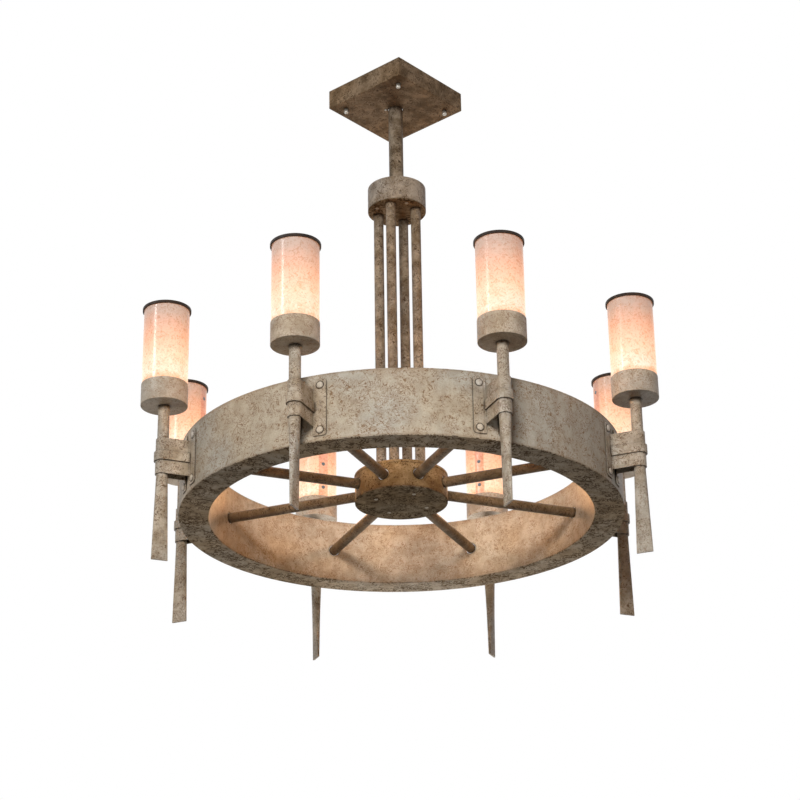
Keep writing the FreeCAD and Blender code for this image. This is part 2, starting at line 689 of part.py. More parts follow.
def make_spoke_nuts():
    """Sixteen hexagon nuts that hold the spokes inside the hub and inside the rim."""
    body = new_body("spoke_locknuts", WHEEL, "wheel_turn")
    for start in (NUT_IN_HUB, NUT_IN_RIM):
        flat = new_sketch(body, "YZ_Plane", [("0", "0", "tube_radius + fit_gap")],
                          [hexagon("tube_nut_flats")], start)
        pad(body, flat, "tube_nut_height")
    repeat(body, TORCHES)
    return body


RIM_MIDDLE = "(rim_height / 2 - rim_sheet)"


def drill_for_rivets(body, middle="0"):
    """Holes for the two rivets of each flange, each column square to the rim. Returns the two cuts."""
    column = [("0", f"{middle} + {side} * rivet_spacing / 2", "rivet_radius + fit_gap") for side in (-1, 1)]
    return [pocket(body, new_sketch(body, "YZ_Plane", column, swing=swing), reverse=True)
            for swing in (f"-{RIVET_SWING}", RIVET_SWING)]


def make_rim_band(name, radius, hole):
    """One rolled wall of the rim between its top and bottom plates, with a hole at every torch."""
    body = new_body(name, f"{WHEEL} - {RIM_MIDDLE}", "wheel_turn")
    ring = [("0", "0", f"{radius} + rim_sheet"), ("0", "0", radius)]
    pad(body, new_sketch(body, "XY_Plane", ring), f"2 * {RIM_MIDDLE}")
    cuts = [pocket(body, new_sketch(body, "YZ_Plane", [("0", RIM_MIDDLE, hole)]), reverse=True)]
    return body, cuts


def make_rim_bands():
    """The rim's outer wall with its rivet and wire holes, and its inner wall with its spoke holes."""
    outer, wire_hole = make_rim_band("rim_outer_band", "(rim_radius - rim_sheet)", "wire_hole_radius")
    repeat(outer, TORCHES, *wire_hole, *drill_for_rivets(outer, RIM_MIDDLE))
    inner, spoke_hole = make_rim_band("rim_inner_band", RIM_INSIDE, "tube_radius + spoke_gap")
    repeat(inner, TORCHES, *spoke_hole)
    return [outer, inner]


def make_rim_plates():
    """The flat rings that close the rim above and below."""
    plates = []
    ring = [("0", "0", "rim_radius"), ("0", "0", RIM_INSIDE)]
    for name, side in (("rim_top_plate", "+ rim_height / 2 - rim_sheet"),
                       ("rim_bottom_plate", "- rim_height / 2")):
        body = new_body(name, f"{WHEEL} {side}", "wheel_turn")
        pad(body, new_sketch(body, "XY_Plane", ring), "rim_sheet")
        plates.append(body)
    return plates


# Torches: a tube stem in a riveted strap on the rim, with cup, lampholder, bulb, shade and trim ring.

def make_torch_stems():
    """Eight tubes, round from the cup to the strap and flattened below it to a square-cut blade."""
    body = new_body("torch_stems", WHEEL, "wheel_turn")
    top = f"({CUP_FLOOR} + torch_grip)"
    upper = new_sketch(body, "XY_Plane", [(TORCH_AXIS, "0", "torch_radius")], offset="-blade_start")
    pad(body, upper, f"{top} + blade_start")
    flat = "(blade_thickness / 2)"
    flat_reach = f"(blade_width / 2 - {flat})"
    round_reach = "(torch_radius * sin(45 deg))"
    sections = []
    for reach, half, side, drop in ((round_reach, round_reach, "torch_radius", "-blade_start"),
                                    (flat_reach, flat, flat, "-blade_drop")):
        wide = "torch_radius" if side == "torch_radius" else None
        path = [(f"{TORCH_AXIS} - {reach}", f"-{half}"), (f"{TORCH_AXIS} + {reach}", f"-{half}"),
                (f"{TORCH_AXIS} + {reach}", half), (f"{TORCH_AXIS} - {reach}", half)]
        radii = [wide, f"{side} * {HALF_CIRCLE_EASE}", wide, f"{side} * {HALF_CIRCLE_EASE}"]
        outline = [point + (radius,) if radius else point for point, radius in zip(path, radii)]
        sections.append(new_sketch(body, "XY_Plane", outlines=[outline], offset=drop))
    blade = body.newObject("PartDesign::AdditiveLoft", "torch_stems_blade")
    blade.Profile = sections[0]
    blade.Sections = [sections[1]]
    blade.Ruled = True
    finish(body, blade)
    bore = new_sketch(body, "XY_Plane", [(TORCH_AXIS, "0", "torch_radius - torch_wall")], offset=top)
    pocket(body, bore, f"{top} + blade_start")
    repeat(body, TORCHES)
    return body


def make_straps():
    """Eight straps: each wraps its torch stem and turns out into a riveted flange on both sides."""
    body = new_body("bracket_straps", WHEEL, "wheel_turn")
    inner = STRAP_INSIDE
    outer = STRAP_OUTSIDE
    face = FLANGE_FACE
    bend_y = f"({outer} + strap_bend)"
    bend_x = f"sqrt(pow({face} + strap_bend; 2) - pow({bend_y}; 2))"
    scale = f"{face} / ({face} + strap_bend)"

    def on_circle(radius, height):
        return f"sqrt(pow({radius}; 2) - pow({height}; 2))"
    path = [
        (on_circle("rim_radius", "flange_reach"), "-flange_reach", "rim_radius"),
        (on_circle("rim_radius", inner), f"-{inner}"),
        (TORCH_AXIS, f"-{inner}", f"{inner} * {HALF_CIRCLE_EASE}"),
        (TORCH_AXIS, inner),
        (on_circle("rim_radius", inner), inner, "rim_radius"),
        (on_circle("rim_radius", "flange_reach"), "flange_reach"),
        (on_circle(face, "flange_reach"), "flange_reach", f"-{face}"),
        (f"{bend_x} * {scale}", f"{bend_y} * {scale}", "strap_bend"),
        (bend_x, outer),
        (TORCH_AXIS, outer, f"-{outer} * {HALF_CIRCLE_EASE}"),
        (TORCH_AXIS, f"-{outer}"),
        (bend_x, f"-{outer}", "strap_bend"),
        (f"{bend_x} * {scale}", f"-{bend_y} * {scale}", f"-{face}"),
        (on_circle(face, "flange_reach"), "-flange_reach"),
    ]
    pad(body, new_sketch(body, "XY_Plane", outlines=[path]), "flange_height", middle=True)
    clear_x = f"({face} + strap_bend)"
    far_x = f"({TORCH_AXIS} + 2 * torch_radius)"
    gaps = [rectangle(clear_x, "strap_height / 2", far_x, "flange_height"),
            rectangle(clear_x, "-flange_height", far_x, "-strap_height / 2")]
    pocket(body, new_sketch(body, "XZ_Plane", outlines=gaps), middle=True)
    drill_for_rivets(body)
    end = value_of("flange_height / 2")
    side = value_of("flange_reach")

    def flange_corner(edge):
        box = edge.BoundBox
        at_end = box.ZLength < TOLERANCE and abs(abs(box.ZMax) - end) < TOLERANCE
        return at_end and box.YLength < TOLERANCE and abs(abs(box.YMax) - side) < TOLERANCE
    fillet(body, "flange_corner", flange_corner)
    repeat(body, TORCHES)
    return body


def make_wrap_bands():
    """Eight narrow bands around the middle of the straps, from flange to flange."""
    body = new_body("wrap_bands", WHEEL, "wheel_turn")
    inner = STRAP_OUTSIDE
    outer = f"({STRAP_OUTSIDE} + band_sheet)"
    start = f"({FLANGE_FACE} + strap_bend)"
    path = [
        (start, f"-{outer}"),
        (TORCH_AXIS, f"-{outer}", f"{outer} * {HALF_CIRCLE_EASE}"),
        (TORCH_AXIS, outer),
        (start, outer),
        (start, inner),
        (TORCH_AXIS, inner, f"-{inner} * {HALF_CIRCLE_EASE}"),
        (TORCH_AXIS, f"-{inner}"),
        (start, f"-{inner}"),
    ]
    pad(body, new_sketch(body, "XY_Plane", outlines=[path]), "band_height", middle=True)
    repeat(body, TORCHES)
    return body


def make_rivets():
    """Thirty-two round-headed rivets through the flanges and the rim, each square to the rim."""
    body = new_body("bracket_rivets", WHEEL, "wheel_turn")
    wall = "sqrt(pow(rim_radius - rim_sheet; 2) - pow(rivet_tail_radius; 2))"
    tail = f"({wall} - rivet_tail_height)"
    shank = ("rivet_radius", tail, f"{FLANGE_FACE} - {tail}")
    formed = ("rivet_tail_radius", tail, "rivet_tail_height")
    head = ("rivet_head_radius", FLANGE_FACE, "rivet_head_height")
    for swing in (f"-{RIVET_SWING}", RIVET_SWING):
        for radius, start, length in (shank, formed, head):
            column = [("0", f"{side} * rivet_spacing / 2", radius) for side in (-1, 1)]
            pad(body, new_sketch(body, "YZ_Plane", column, offset=start, swing=swing), length)
    front = value_of(f"{FLANGE_FACE} + rivet_head_height")

    def head_edge(edge):
        if not isinstance(edge.Curve, Part.Circle):
            return False
        return abs(math.hypot(edge.Curve.Center.x, edge.Curve.Center.y) - front) < TOLERANCE
    fillet(body, f"rivet_head_height * {RIVET_HEAD_ROUND}", head_edge)
    repeat(body, TORCHES)
    return body


def make_cups():
    """Eight straight-sided cups, each on the top of its torch stem."""
    body = new_body("cups", f"{WHEEL} + cup_rise", "wheel_turn")
    pad(body, new_sketch(body, "XY_Plane", [(TORCH_AXIS, "0", "cup_radius")]), "cup_height")
    fillet(body, "cup_edge", level_edge("0", "cup_radius"))
    hollow = new_sketch(body, "XY_Plane", [(TORCH_AXIS, "0", "cup_radius - cup_sheet")], offset="cup_sheet")
    pocket(body, hollow, "cup_height - cup_sheet", reverse=True)
    pocket(body, new_sketch(body, "XY_Plane", [(TORCH_AXIS, "0", "torch_radius + fit_gap")]), middle=True)
    repeat(body, TORCHES)
    return body


def make_lampholders():
    """Eight lampholders on the cups' floors, each with a hole for its stem and a shell for its bulb."""
    body = new_body("lampholders", f"{WHEEL} + {CUP_FLOOR}", "wheel_turn")
    pad(body, new_sketch(body, "XY_Plane", [(TORCH_AXIS, "0", "holder_radius")]), "holder_height")
    stem = new_sketch(body, "XY_Plane", [(TORCH_AXIS, "0", "torch_radius + fit_gap")])
    pocket(body, stem, "torch_grip + fit_gap", reverse=True)
    shell = new_sketch(body, "XY_Plane", [(TORCH_AXIS, "0", HOLDER_SHELL)], offset="holder_height")
    pocket(body, shell, "holder_depth")
    repeat(body, TORCHES)
    return body


def make_shade(name, turn):
    """A rolled translucent sheet, open at both ends, whose overlap faces the hub."""
    body = new_body(name, f"{WHEEL} + {CUP_FLOOR}", turn, TORCH_AXIS)
    inside = f"({SHADE_RADIUS} - shade_sheet)"
    wall = new_sketch(body, "XY_Plane", [("0", "0", SHADE_RADIUS), ("0", "0", inside)])
    pad(body, wall, "shade_height")
    half = "(seam_width / 2)"
    lap = f"({inside} - shade_sheet)"

    def side(radius):
        return f"-sqrt(pow({radius}; 2) - pow({half}; 2))"
    path = [(side(inside), half, inside), (side(inside), f"-{half}"),
            (side(lap), f"-{half}", f"-{lap}"), (side(lap), half)]
    pad(body, new_sketch(body, "XY_Plane", outlines=[path]), "shade_height - trim_height")
    return body


def make_trim_ring(name, turn):
    """The dark ring on the shade's top edge, with a groove that the edge sits in."""
    body = new_body(name, f"{WHEEL} + {CUP_FLOOR} + shade_height", turn, TORCH_AXIS)
    outside = f"({SHADE_RADIUS} + trim_lap)"
    groove_out = f"({SHADE_RADIUS} + fit_gap)"
    groove_in = f"({SHADE_RADIUS} - shade_sheet - fit_gap)"
    inside = f"({groove_in} - trim_lip)"
    foot = "-(trim_height - trim_cap)"
    profile = [
        (inside, "trim_cap"), (inside, foot), (groove_in, foot), (groove_in, "0"),
        (groove_out, "0"), (groove_out, foot), (outside, foot), (outside, "trim_cap"),
    ]
    revolve(body, new_sketch(body, "XZ_Plane", outlines=[profile]))
    return body


def make_bulb(name, turn):
    """A lamp with a screw base, a tapering neck and a round top."""
    body = new_body(name, f"{WHEEL} + {CUP_FLOOR} + holder_height - holder_depth", turn, TORCH_AXIS)
    centre = "(bulb_height - bulb_globe_radius)"
    shoulder = "(bulb_shoulder * 1 deg)"
    profile = [
        ("0", "0"), ("bulb_tip_radius", "0"), ("bulb_tip_radius", "bulb_tip_height"),
        ("bulb_base_radius", "2 * bulb_tip_height"), ("bulb_base_radius", "bulb_base_height"),
        (f"bulb_globe_radius * cos{shoulder}", f"{centre} - bulb_globe_radius * sin{shoulder}",
         "bulb_globe_radius"),
        ("0", "bulb_height"),
    ]
    revolve(body, new_sketch(body, "XZ_Plane", outlines=[profile]))
    return body


pieces = [make_crossbar(), make_stud_cross(), make_studs()]
pieces.append(tube("stem_nipple", "nipple_radius", "nipple_wall", "stem_recess + plug_thickness",
                   "-stem_recess - plug_thickness"))
pieces += [make_nipple_nut(), make_plug(), make_canopy(), make_canopy_nuts(), make_canopy_screw()]
STEM_FOOT = f"({COLLAR_TOP} - collar_sheet - stem_nut_height - stem_end)"
pieces.append(tube("stem", "stem_radius", "stem_wall", f"-stem_recess - {STEM_FOOT}", STEM_FOOT))
pieces += [make_stem_nut(), make_collar_body(), make_collar_plate()]
pieces.append(make_plate_screws("collar_screws", COLLAR_BASE, "collar_screw_circle",
                                "collar_plate_thickness"))
pieces += make_hanger_tubes()
pieces += [make_hanger_nuts(), make_hub_drum(), make_hub_lid(), make_hub_base()]
pieces.append(make_plate_screws("hub_screws", f"{DRUM_BASE} - hub_base_thickness", "hub_screw_circle",
                                "hub_base_thickness"))
pieces += [make_spokes(), make_spoke_nuts()]
pieces += make_rim_bands() + make_rim_plates()
pieces += [make_torch_stems(), make_straps(), make_wrap_bands(), make_rivets()]
pieces += [make_cups(), make_lampholders()]
for torch in range(1, TORCHES + 1):
    azimuth = f"wheel_turn + {(torch - 1) * CIRCLE / TORCHES}"
    pieces.append(make_shade(f"shade_{torch}", azimuth))
    pieces.append(make_trim_ring(f"trim_ring_{torch}", azimuth))
    pieces.append(make_bulb(f"bulb_{torch}", azimuth))

doc.recompute()
for item in doc.Objects:
    if "Invalid" in item.State or "Error" in item.State:
        raise RuntimeError(f"{item.Label} failed: {item.State}")
for piece in pieces:
    if piece.Shape.isNull() or not piece.Shape.isValid() or not piece.Shape.Solids:
        raise RuntimeError(f"{piece.Label} has no valid solid")

os.makedirs("parts", exist_ok=True)
for piece in pieces:
    piece.Shape.exportStep(f"parts/{piece.Label}.step")
    print(f"{piece.Label}: {len(piece.Shape.Solids)} solids, {piece.Shape.Volume / 1000:.2f} cm3")
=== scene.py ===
import math
import bmesh
import bpy
import numpy as np
from mathutils import Matrix, Vector


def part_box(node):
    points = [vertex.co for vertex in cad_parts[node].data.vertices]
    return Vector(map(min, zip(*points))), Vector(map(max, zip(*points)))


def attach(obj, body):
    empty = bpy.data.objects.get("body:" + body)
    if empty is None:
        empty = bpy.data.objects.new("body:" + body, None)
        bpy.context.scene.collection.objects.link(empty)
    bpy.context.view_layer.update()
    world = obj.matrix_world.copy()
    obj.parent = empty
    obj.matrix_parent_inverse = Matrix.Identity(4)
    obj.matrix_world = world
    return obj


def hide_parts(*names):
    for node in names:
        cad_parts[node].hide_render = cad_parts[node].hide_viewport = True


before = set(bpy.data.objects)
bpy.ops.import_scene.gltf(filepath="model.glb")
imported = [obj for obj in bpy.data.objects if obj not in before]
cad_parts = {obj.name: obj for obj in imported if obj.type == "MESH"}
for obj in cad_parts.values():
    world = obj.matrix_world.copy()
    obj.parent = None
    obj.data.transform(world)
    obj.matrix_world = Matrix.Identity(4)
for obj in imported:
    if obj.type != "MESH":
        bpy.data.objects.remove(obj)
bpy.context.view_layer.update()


# The rim's outer band: a steel strip rolled into a hoop and welded, painted pale pewter over brown. Its edges
# are closed by the two flat rings above and below it, and the torch brackets are riveted to it.
TURN = 2 * math.pi
TORCHES = 8
FIRST_TORCH = math.radians(22.5)
RIM_RADIUS = 0.4571
RIM_SHEET = 0.002
RIM_ROWS = 24
RIM_COLUMNS = 288
CORNER_SHARE = 0.45
MERGED = 2e-6
MIX_FIRST, MIX_SECOND, MIX_RESULT = 6, 7, 2
WARM = (1.03, 0.98, 0.91)
COOL = (0.97, 1.0, 1.04)
# Painted shade in corners and recesses: its near-black brown colour, how far the shut-in air is measured, and
# the most of it laid on.
CORNER_SHADE = (0.035, 0.024, 0.014)
CORNER_SHADE_REACH = 0.007
CORNER_SHADE_SHARE = 0.9
AIR_SAMPLES = 8
RELIEF = 0.0008
torch_turns = [FIRST_TORCH + k * TURN / TORCHES for k in range(TORCHES)]


def eased(corners, radius, steps=3, closed=True):
    """An outline with its corners rounded. Around each corner P it runs along (1-t)^2 A + 2t(1-t) P + t^2 B,
    where A and B lie one radius before and after P, or less where a side is short. An open outline keeps its
    ends."""
    corners = np.asarray(corners, float)
    before = np.roll(corners, 1, axis=0) - corners
    after = np.roll(corners, -1, axis=0) - corners
    sides_before = np.linalg.norm(before, axis=1, keepdims=True)
    sides_after = np.linalg.norm(after, axis=1, keepdims=True)
    start = corners + before / sides_before * np.minimum(radius, CORNER_SHARE * sides_before)
    end = corners + after / sides_after * np.minimum(radius, CORNER_SHARE * sides_after)
    t = np.linspace(0, 1, steps + 1)[None, :, None]
    curves = (1 - t) ** 2 * start[:, None] + 2 * t * (1 - t) * corners[:, None] + t ** 2 * end[:, None]
    if closed:
        outline = curves.reshape(-1, corners.shape[1])
        return np.vstack([outline, outline[:1]])
    middle = curves[1:-1].reshape(-1, corners.shape[1])
    return np.vstack([corners[:1], middle, corners[-1:]])


def turned(profile, columns=128):
    """A lathe's surface: the point (r, z) of the profile goes to (r cos a, r sin a, z) for every angle a."""
    angle = np.linspace(0, TURN, columns + 1)
    r, z = np.asarray(profile, float).T[:, :, None]
    return np.stack([r * np.cos(angle), r * np.sin(angle), z + 0 * angle], axis=-1)


def stood(grid, reach=0.0, turn=0.0, lift=0.0):
    """The grid moved out along X by reach and up by lift, and then turned about the chandelier's axis."""
    moved = grid + np.array([reach, 0, lift])
    c, s = math.cos(turn), math.sin(turn)
    return moved @ np.array([[c, s, 0], [-s, c, 0], [0, 0, 1]])


def eight_times(grid):
    """The eight copies of a grid, one at each torch."""
    return [stood(grid, turn=turn) for turn in torch_turns]


def surface(name, grids, sharp=40):
    """One mesh from grids of points [row, column, xyz]. Each square of a grid is a face, and grids or ends
    that meet are joined, so a grid that repeats its first row or column is closed. Edges past sharp degrees
    stay hard."""
    points, faces, first = [], [], 0
    for grid in grids:
        rows, columns = grid.shape[:2]
        index = first + np.arange(rows * columns).reshape(rows, columns)
        squares = [index[:-1, :-1], index[:-1, 1:], index[1:, 1:], index[1:, :-1]]
        faces.append(np.stack(squares, axis=-1).reshape(-1, 4))
        points.append(grid.reshape(-1, 3))
        first += rows * columns
    mesh = bpy.data.meshes.new(name)
    mesh.from_pydata(np.vstack(points), [], np.vstack(faces))
    joined = bmesh.new()
    joined.from_mesh(mesh)
    bmesh.ops.remove_doubles(joined, verts=joined.verts, dist=MERGED)
    bmesh.ops.recalc_face_normals(joined, faces=joined.faces)
    joined.to_mesh(mesh)
    joined.free()
    mesh.shade_smooth()
    mesh.set_sharp_from_angle(angle=math.radians(sharp))
    piece = bpy.data.objects.new(name, mesh)
    bpy.context.scene.collection.objects.link(piece)
    flats = piece.modifiers.new("flats", "WEIGHTED_NORMAL")
    flats.keep_sharp = True
    return piece


def grey(colour):
    """An RGBA colour from an RGB one or a single number."""
    return (*colour, 1.0) if isinstance(colour, tuple) else (colour, colour, colour, 1.0)


def give(socket, value):
    """Links a socket to the one given, or sets it to a number or a colour."""
    if isinstance(value, bpy.types.NodeSocket):
        socket.id_data.links.new(value, socket)
    else:
        socket.default_value = grey(value) if socket.type == "RGBA" else value


def feed(made, **values):
    """Gives a node its inputs by name, with a low line for each space."""
    for key, value in values.items():
        give(made.inputs[key.replace("_", " ")], value)
    return made


def node(tree, kind, **values):
    """A shader node. The names in small letters are its properties, and the others its inputs."""
    made = tree.nodes.new("ShaderNode" + kind)
    for key in filter(str.islower, values):
        setattr(made, key, values[key])
    return feed(made, **{key: value for key, value in values.items() if not key.islower()})


def finish(name):
    """A new material, its node tree and its shader."""
    material = bpy.data.materials.new(name)
    material.use_nodes = True
    return material, material.node_tree, material.node_tree.nodes["Principled BSDF"]


def noise(tree, scale, detail, **more):
    """A noise over the piece's own coordinates, as a factor."""
    place = node(tree, "TexCoord").outputs["Object"]
    return node(tree, "TexNoise", Vector=place, Scale=scale, Detail=detail, **more).outputs["Fac"]


def ramp(tree, factor, *stops):
    """A colour ramp over a factor; each stop is (position, colour)."""
    made = node(tree, "ValToRGB", Fac=factor)
    elements = made.color_ramp.elements
    elements.remove(elements[1])
    elements[0].position, elements[0].color = stops[0][0], grey(stops[0][1])
    for position, colour in stops[1:]:
        elements.new(position).color = grey(colour)
    return made.outputs["Color"]


def blended(tree, factor, first, second, kind="MIX"):
    """Two colours blended by a factor."""
    made = node(tree, "Mix", data_type="RGBA", blend_type=kind)
    give(made.inputs["Factor"], factor)
    give(made.inputs[MIX_FIRST], first)
    give(made.inputs[MIX_SECOND], second)
    return made.outputs[MIX_RESULT]


def times(tree, first, second):
    """Two colours multiplied."""
    return blended(tree, 1.0, first, second, "MULTIPLY")


def corner_shaded(tree, colour, shade_colour, reach, dark, unshaded):
    """A colour darkened with painted shade in corners and recesses: where the open share of the air within
    reach is below dark it is nearly all shade colour, and above unshaded none."""
    open_air = node(tree, "AmbientOcclusion", Distance=reach, samples=AIR_SAMPLES).outputs["AO"]
    return blended(tree, ramp(tree, open_air, (dark, CORNER_SHADE_SHARE), (unshaded, 0.0)), colour, shade_colour)


def weathered(name, pale, deep, mark, shown=0.9, spread=0.026, coarse=1.0, roughness=0.44, bump=0.3,
              gloss=0.14):
    """Pewter paint rubbed back over brown. The ground drifts between two tones and between cool and warm.
    Thin curved lines, where a noise is within spread of its middle, and small ochre blots show in patches
    over a fine grain. Edges are rubbed brown, and corners and recesses are darkened with painted shade."""
    material, tree, shader = finish(name)
    drift = noise(tree, 6, 3)
    cloud = noise(tree, 31, 7, Roughness=0.7)
    patch = noise(tree, 43 * coarse, 4, Roughness=0.7)
    worm = noise(tree, 68 * coarse, 1, Distortion=2.6)
    blot = noise(tree, 110 * coarse, 4, Roughness=0.65, Distortion=0.8)
    grain = noise(tree, 520, 3, Roughness=0.7)
    tone = blended(tree, ramp(tree, drift, (0.42, 0.0), (0.58, 1.0)), WARM, COOL)
    ground = times(tree, blended(tree, ramp(tree, cloud, (0.40, 0.0), (0.60, 1.0)), deep, pale), tone)
    far, near = 1.7 * spread, 0.6 * spread
    lines = ramp(tree, worm, (0.5 - far, 0.0), (0.5 - near, 1.0), (0.5 + near, 1.0), (0.5 + far, 0.0))
    lines = times(tree, lines, ramp(tree, patch, (0.43, 0.0), (0.50, shown)))
    blots = times(tree, ramp(tree, blot, (0.57, 0.0), (0.61, shown)),
                  ramp(tree, patch, (0.40, 0.0), (0.48, 1.0)))
    ochre = tuple(0.5 * (a + b) for a, b in zip(pale, mark))
    colour = blended(tree, lines, blended(tree, blots, ground, ochre), mark)
    colour = times(tree, colour, ramp(tree, grain, (0.34, 0.80), (0.56, 1.0)))
    worn = ramp(tree, node(tree, "NewGeometry").outputs["Pointiness"], (0.54, 0.0), (0.66, 0.7))
    # Painted shade: corners and recesses darken towards near-black brown, by how shut in they are.
    colour = corner_shaded(tree, blended(tree, worn, colour, mark), CORNER_SHADE, CORNER_SHADE_REACH, 0.48, 0.92)
    height = blended(tree, 0.5, ramp(tree, worm, (0.44, 1.0), (0.5, 0.0), (0.56, 1.0)), cloud)
    raised = node(tree, "Bump", Height=height, Strength=bump, Distance=RELIEF)
    feed(shader, Base_Color=colour, Specular_IOR_Level=gloss, Normal=raised.outputs["Normal"],
         Roughness=ramp(tree, grain, (0.3, roughness + 0.12), (0.7, roughness - 0.06)))
    return material


def fitted(piece, material, slot, body, *nodes):
    """Gives a piece its material, lets it ride on a body, and hides the CAD nodes it stands for. The slot is
    not used."""
    piece.data.materials.append(material)
    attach(piece, body)
    if nodes:
        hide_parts(*nodes)
    return piece


rim_paint = weathered("rim_paint", pale=(0.49, 0.44, 0.36), deep=(0.40, 0.345, 0.27), mark=(0.21, 0.12, 0.06))
low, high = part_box("rim_outer_band")
wheel_plane = (low.z + high.z) / 2
outside = np.column_stack([np.full(RIM_ROWS, RIM_RADIUS), np.linspace(low.z, high.z, RIM_ROWS)])
band = turned(np.vstack([outside, outside[::-1] - [RIM_SHEET, 0], outside[:1]]), RIM_COLUMNS)
fitted(surface("outer_band", [band]), rim_paint, "rim_finish", "frame", "rim_outer_band")


# The rim's inner band: the same strip, rolled smaller, with a hole for each spoke that is a little wider than
# the tube, so that a dark ring shows around it.
INNER_RADIUS = 0.396
SPOKE_HOLE = 0.01205
HOLE_EASE = 0.0004
HOLE_RINGS = 7
HOLE_CROWDING = 1.6
HOLE_STEPS = 18


def side_points(left, bottom, right, top, steps):
    """Points around a rectangle, so many steps to a side, from its lower left corner and back to it."""
    t = np.linspace(0, 1, steps + 1)[:, None]
    corners = np.array([[left, bottom], [right, bottom], [right, top], [left, top], [left, bottom]], float)
    sides = corners[:-1, None] * (1 - t[None]) + corners[1:, None] * t[None]
    return sides.reshape(-1, 2)


def at_levels(rows, levels):
    """Rows of points in plan, each row with its own level as the third number."""
    return np.concatenate([rows, np.broadcast_to(levels[:, None, None], (*rows.shape[:2], 1))], axis=-1)


def holed(outline, hole, sheet, centre=(0.0, 0.0)):
    """A sheet around a round hole. Between the hole's edge H and the outline O the face is (1-s) H + s O, at
    the front and again at the back, and the hole's wall joins the two. The third number is the depth in the
    sheet, and s grows as the power 1.6 of even steps, so that the rings crowd at the hole."""
    centre = np.asarray(centre, float)
    away = outline - centre
    direction = away / np.linalg.norm(away, axis=1, keepdims=True)
    mouth = centre + direction * (hole + HOLE_EASE)
    wall = centre + direction * hole
    s = np.linspace(1, 0, HOLE_RINGS)[:, None, None] ** HOLE_CROWDING
    face = (1 - s) * mouth + s * outline
    rows = np.concatenate([face, wall[None], wall[None], face[::-1]])
    depth = [np.zeros(HOLE_RINGS), [HOLE_EASE, sheet - HOLE_EASE], np.full(HOLE_RINGS, sheet)]
    return at_levels(rows, np.concatenate(depth))


def pierced_hoop(name, radius, sheet, low_edge, high_edge):
    """A hoop with eight spoke holes. Each eighth is a flat sheet around its hole, rolled by (u, v, depth) to
    the angle u / radius, the height v and the radius less the depth. Two narrow rings close its edges."""
    half = math.pi * radius / TORCHES
    outline = side_points(-half, low_edge - wheel_plane, half, high_edge - wheel_plane, HOLE_STEPS)
    u, v, depth = np.moveaxis(holed(outline, SPOKE_HOLE, sheet), -1, 0)
    reach = radius - depth
    eighth = np.stack([reach * np.cos(u / radius), reach * np.sin(u / radius), v + wheel_plane], axis=-1)
    edges = [stood(turned([(radius, z), (radius - sheet, z)], HOLE_STEPS * TORCHES),
                   turn=FIRST_TORCH - half / radius) for z in (low_edge, high_edge)]
    return surface(name, eight_times(eighth) + edges)


# Painted light: the inner band's paint is a paler, warmer copy of the rim's, for the lamps' glow on its inner
# face.
lit_inner_paint = weathered("lit_inner_paint", pale=(0.56, 0.465, 0.35), deep=(0.43, 0.34, 0.24),
                        mark=(0.24, 0.13, 0.06), shown=0.75)
low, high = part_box("rim_inner_band")
inner_band = pierced_hoop("inner_band", INNER_RADIUS + RIM_SHEET, RIM_SHEET, low.z, high.z)
fitted(inner_band, lit_inner_paint, "rim_finish", "frame", "rim_inner_band")


# The rim's flat rings: two rings cut from plate and welded over the edges of both bands. The lower one has
# dark, stretched hammer marks, and its paint is a darker, browner copy: painted shade for the underside.
RING_EASE = 0.0006


def flat_ring(name, node_name, material, slot):
    """A flat ring between the levels of its CAD node, with slightly rounded edges."""
    bottom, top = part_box(node_name)
    outline = [(INNER_RADIUS, bottom.z), (RIM_RADIUS, bottom.z), (RIM_RADIUS, top.z), (INNER_RADIUS, top.z)]
    ring = surface(name, [turned(eased(outline, RING_EASE, 2), RIM_COLUMNS)])
    fitted(ring, material, slot, "frame", node_name)


# Painted shade: the underside's paint is a darker, browner copy of the rim's paint.
shaded_under_paint = weathered("shaded_under_paint", pale=(0.45, 0.375, 0.29), deep=(0.32, 0.255, 0.185),
                        mark=(0.085, 0.055, 0.03), spread=0.06, coarse=0.8, bump=0.6, gloss=0.0)
flat_ring("top_ring", "rim_top_plate", rim_paint, "rim_finish")
flat_ring("bottom_ring", "rim_bottom_plate", shaded_under_paint, "rim_underside")


# The hub: a rolled drum with eight spoke holes, a lid that stands a little proud of it, and a flat base plate
# under it that four round-headed screws hold.
HUB_RADIUS = 0.0959
HUB_SHEET = 0.002
HUB_SCREW_CIRCLE = 0.058
LID_RADIUS = 0.0971
LID_EASE = 0.0016
TUBE_RADIUS = 0.01065
TUBE_FIT = 0.0001
HANGERS = 4
HANGER_CIRCLE = 0.0427
HANGER_TURN = math.radians(-18.5)
DISC_EASE = 0.0008
DISC_STEPS = 32
RADIUS_STEPS = 12
SCREW_HEAD = 0.0039
SCREW_RISE = 0.0024
SCREW_COLUMNS = 48
RECESS_DEPTH = 0.0011
RECESS_HALF_WIDTH = 0.22
RECESS_REACH = 0.62


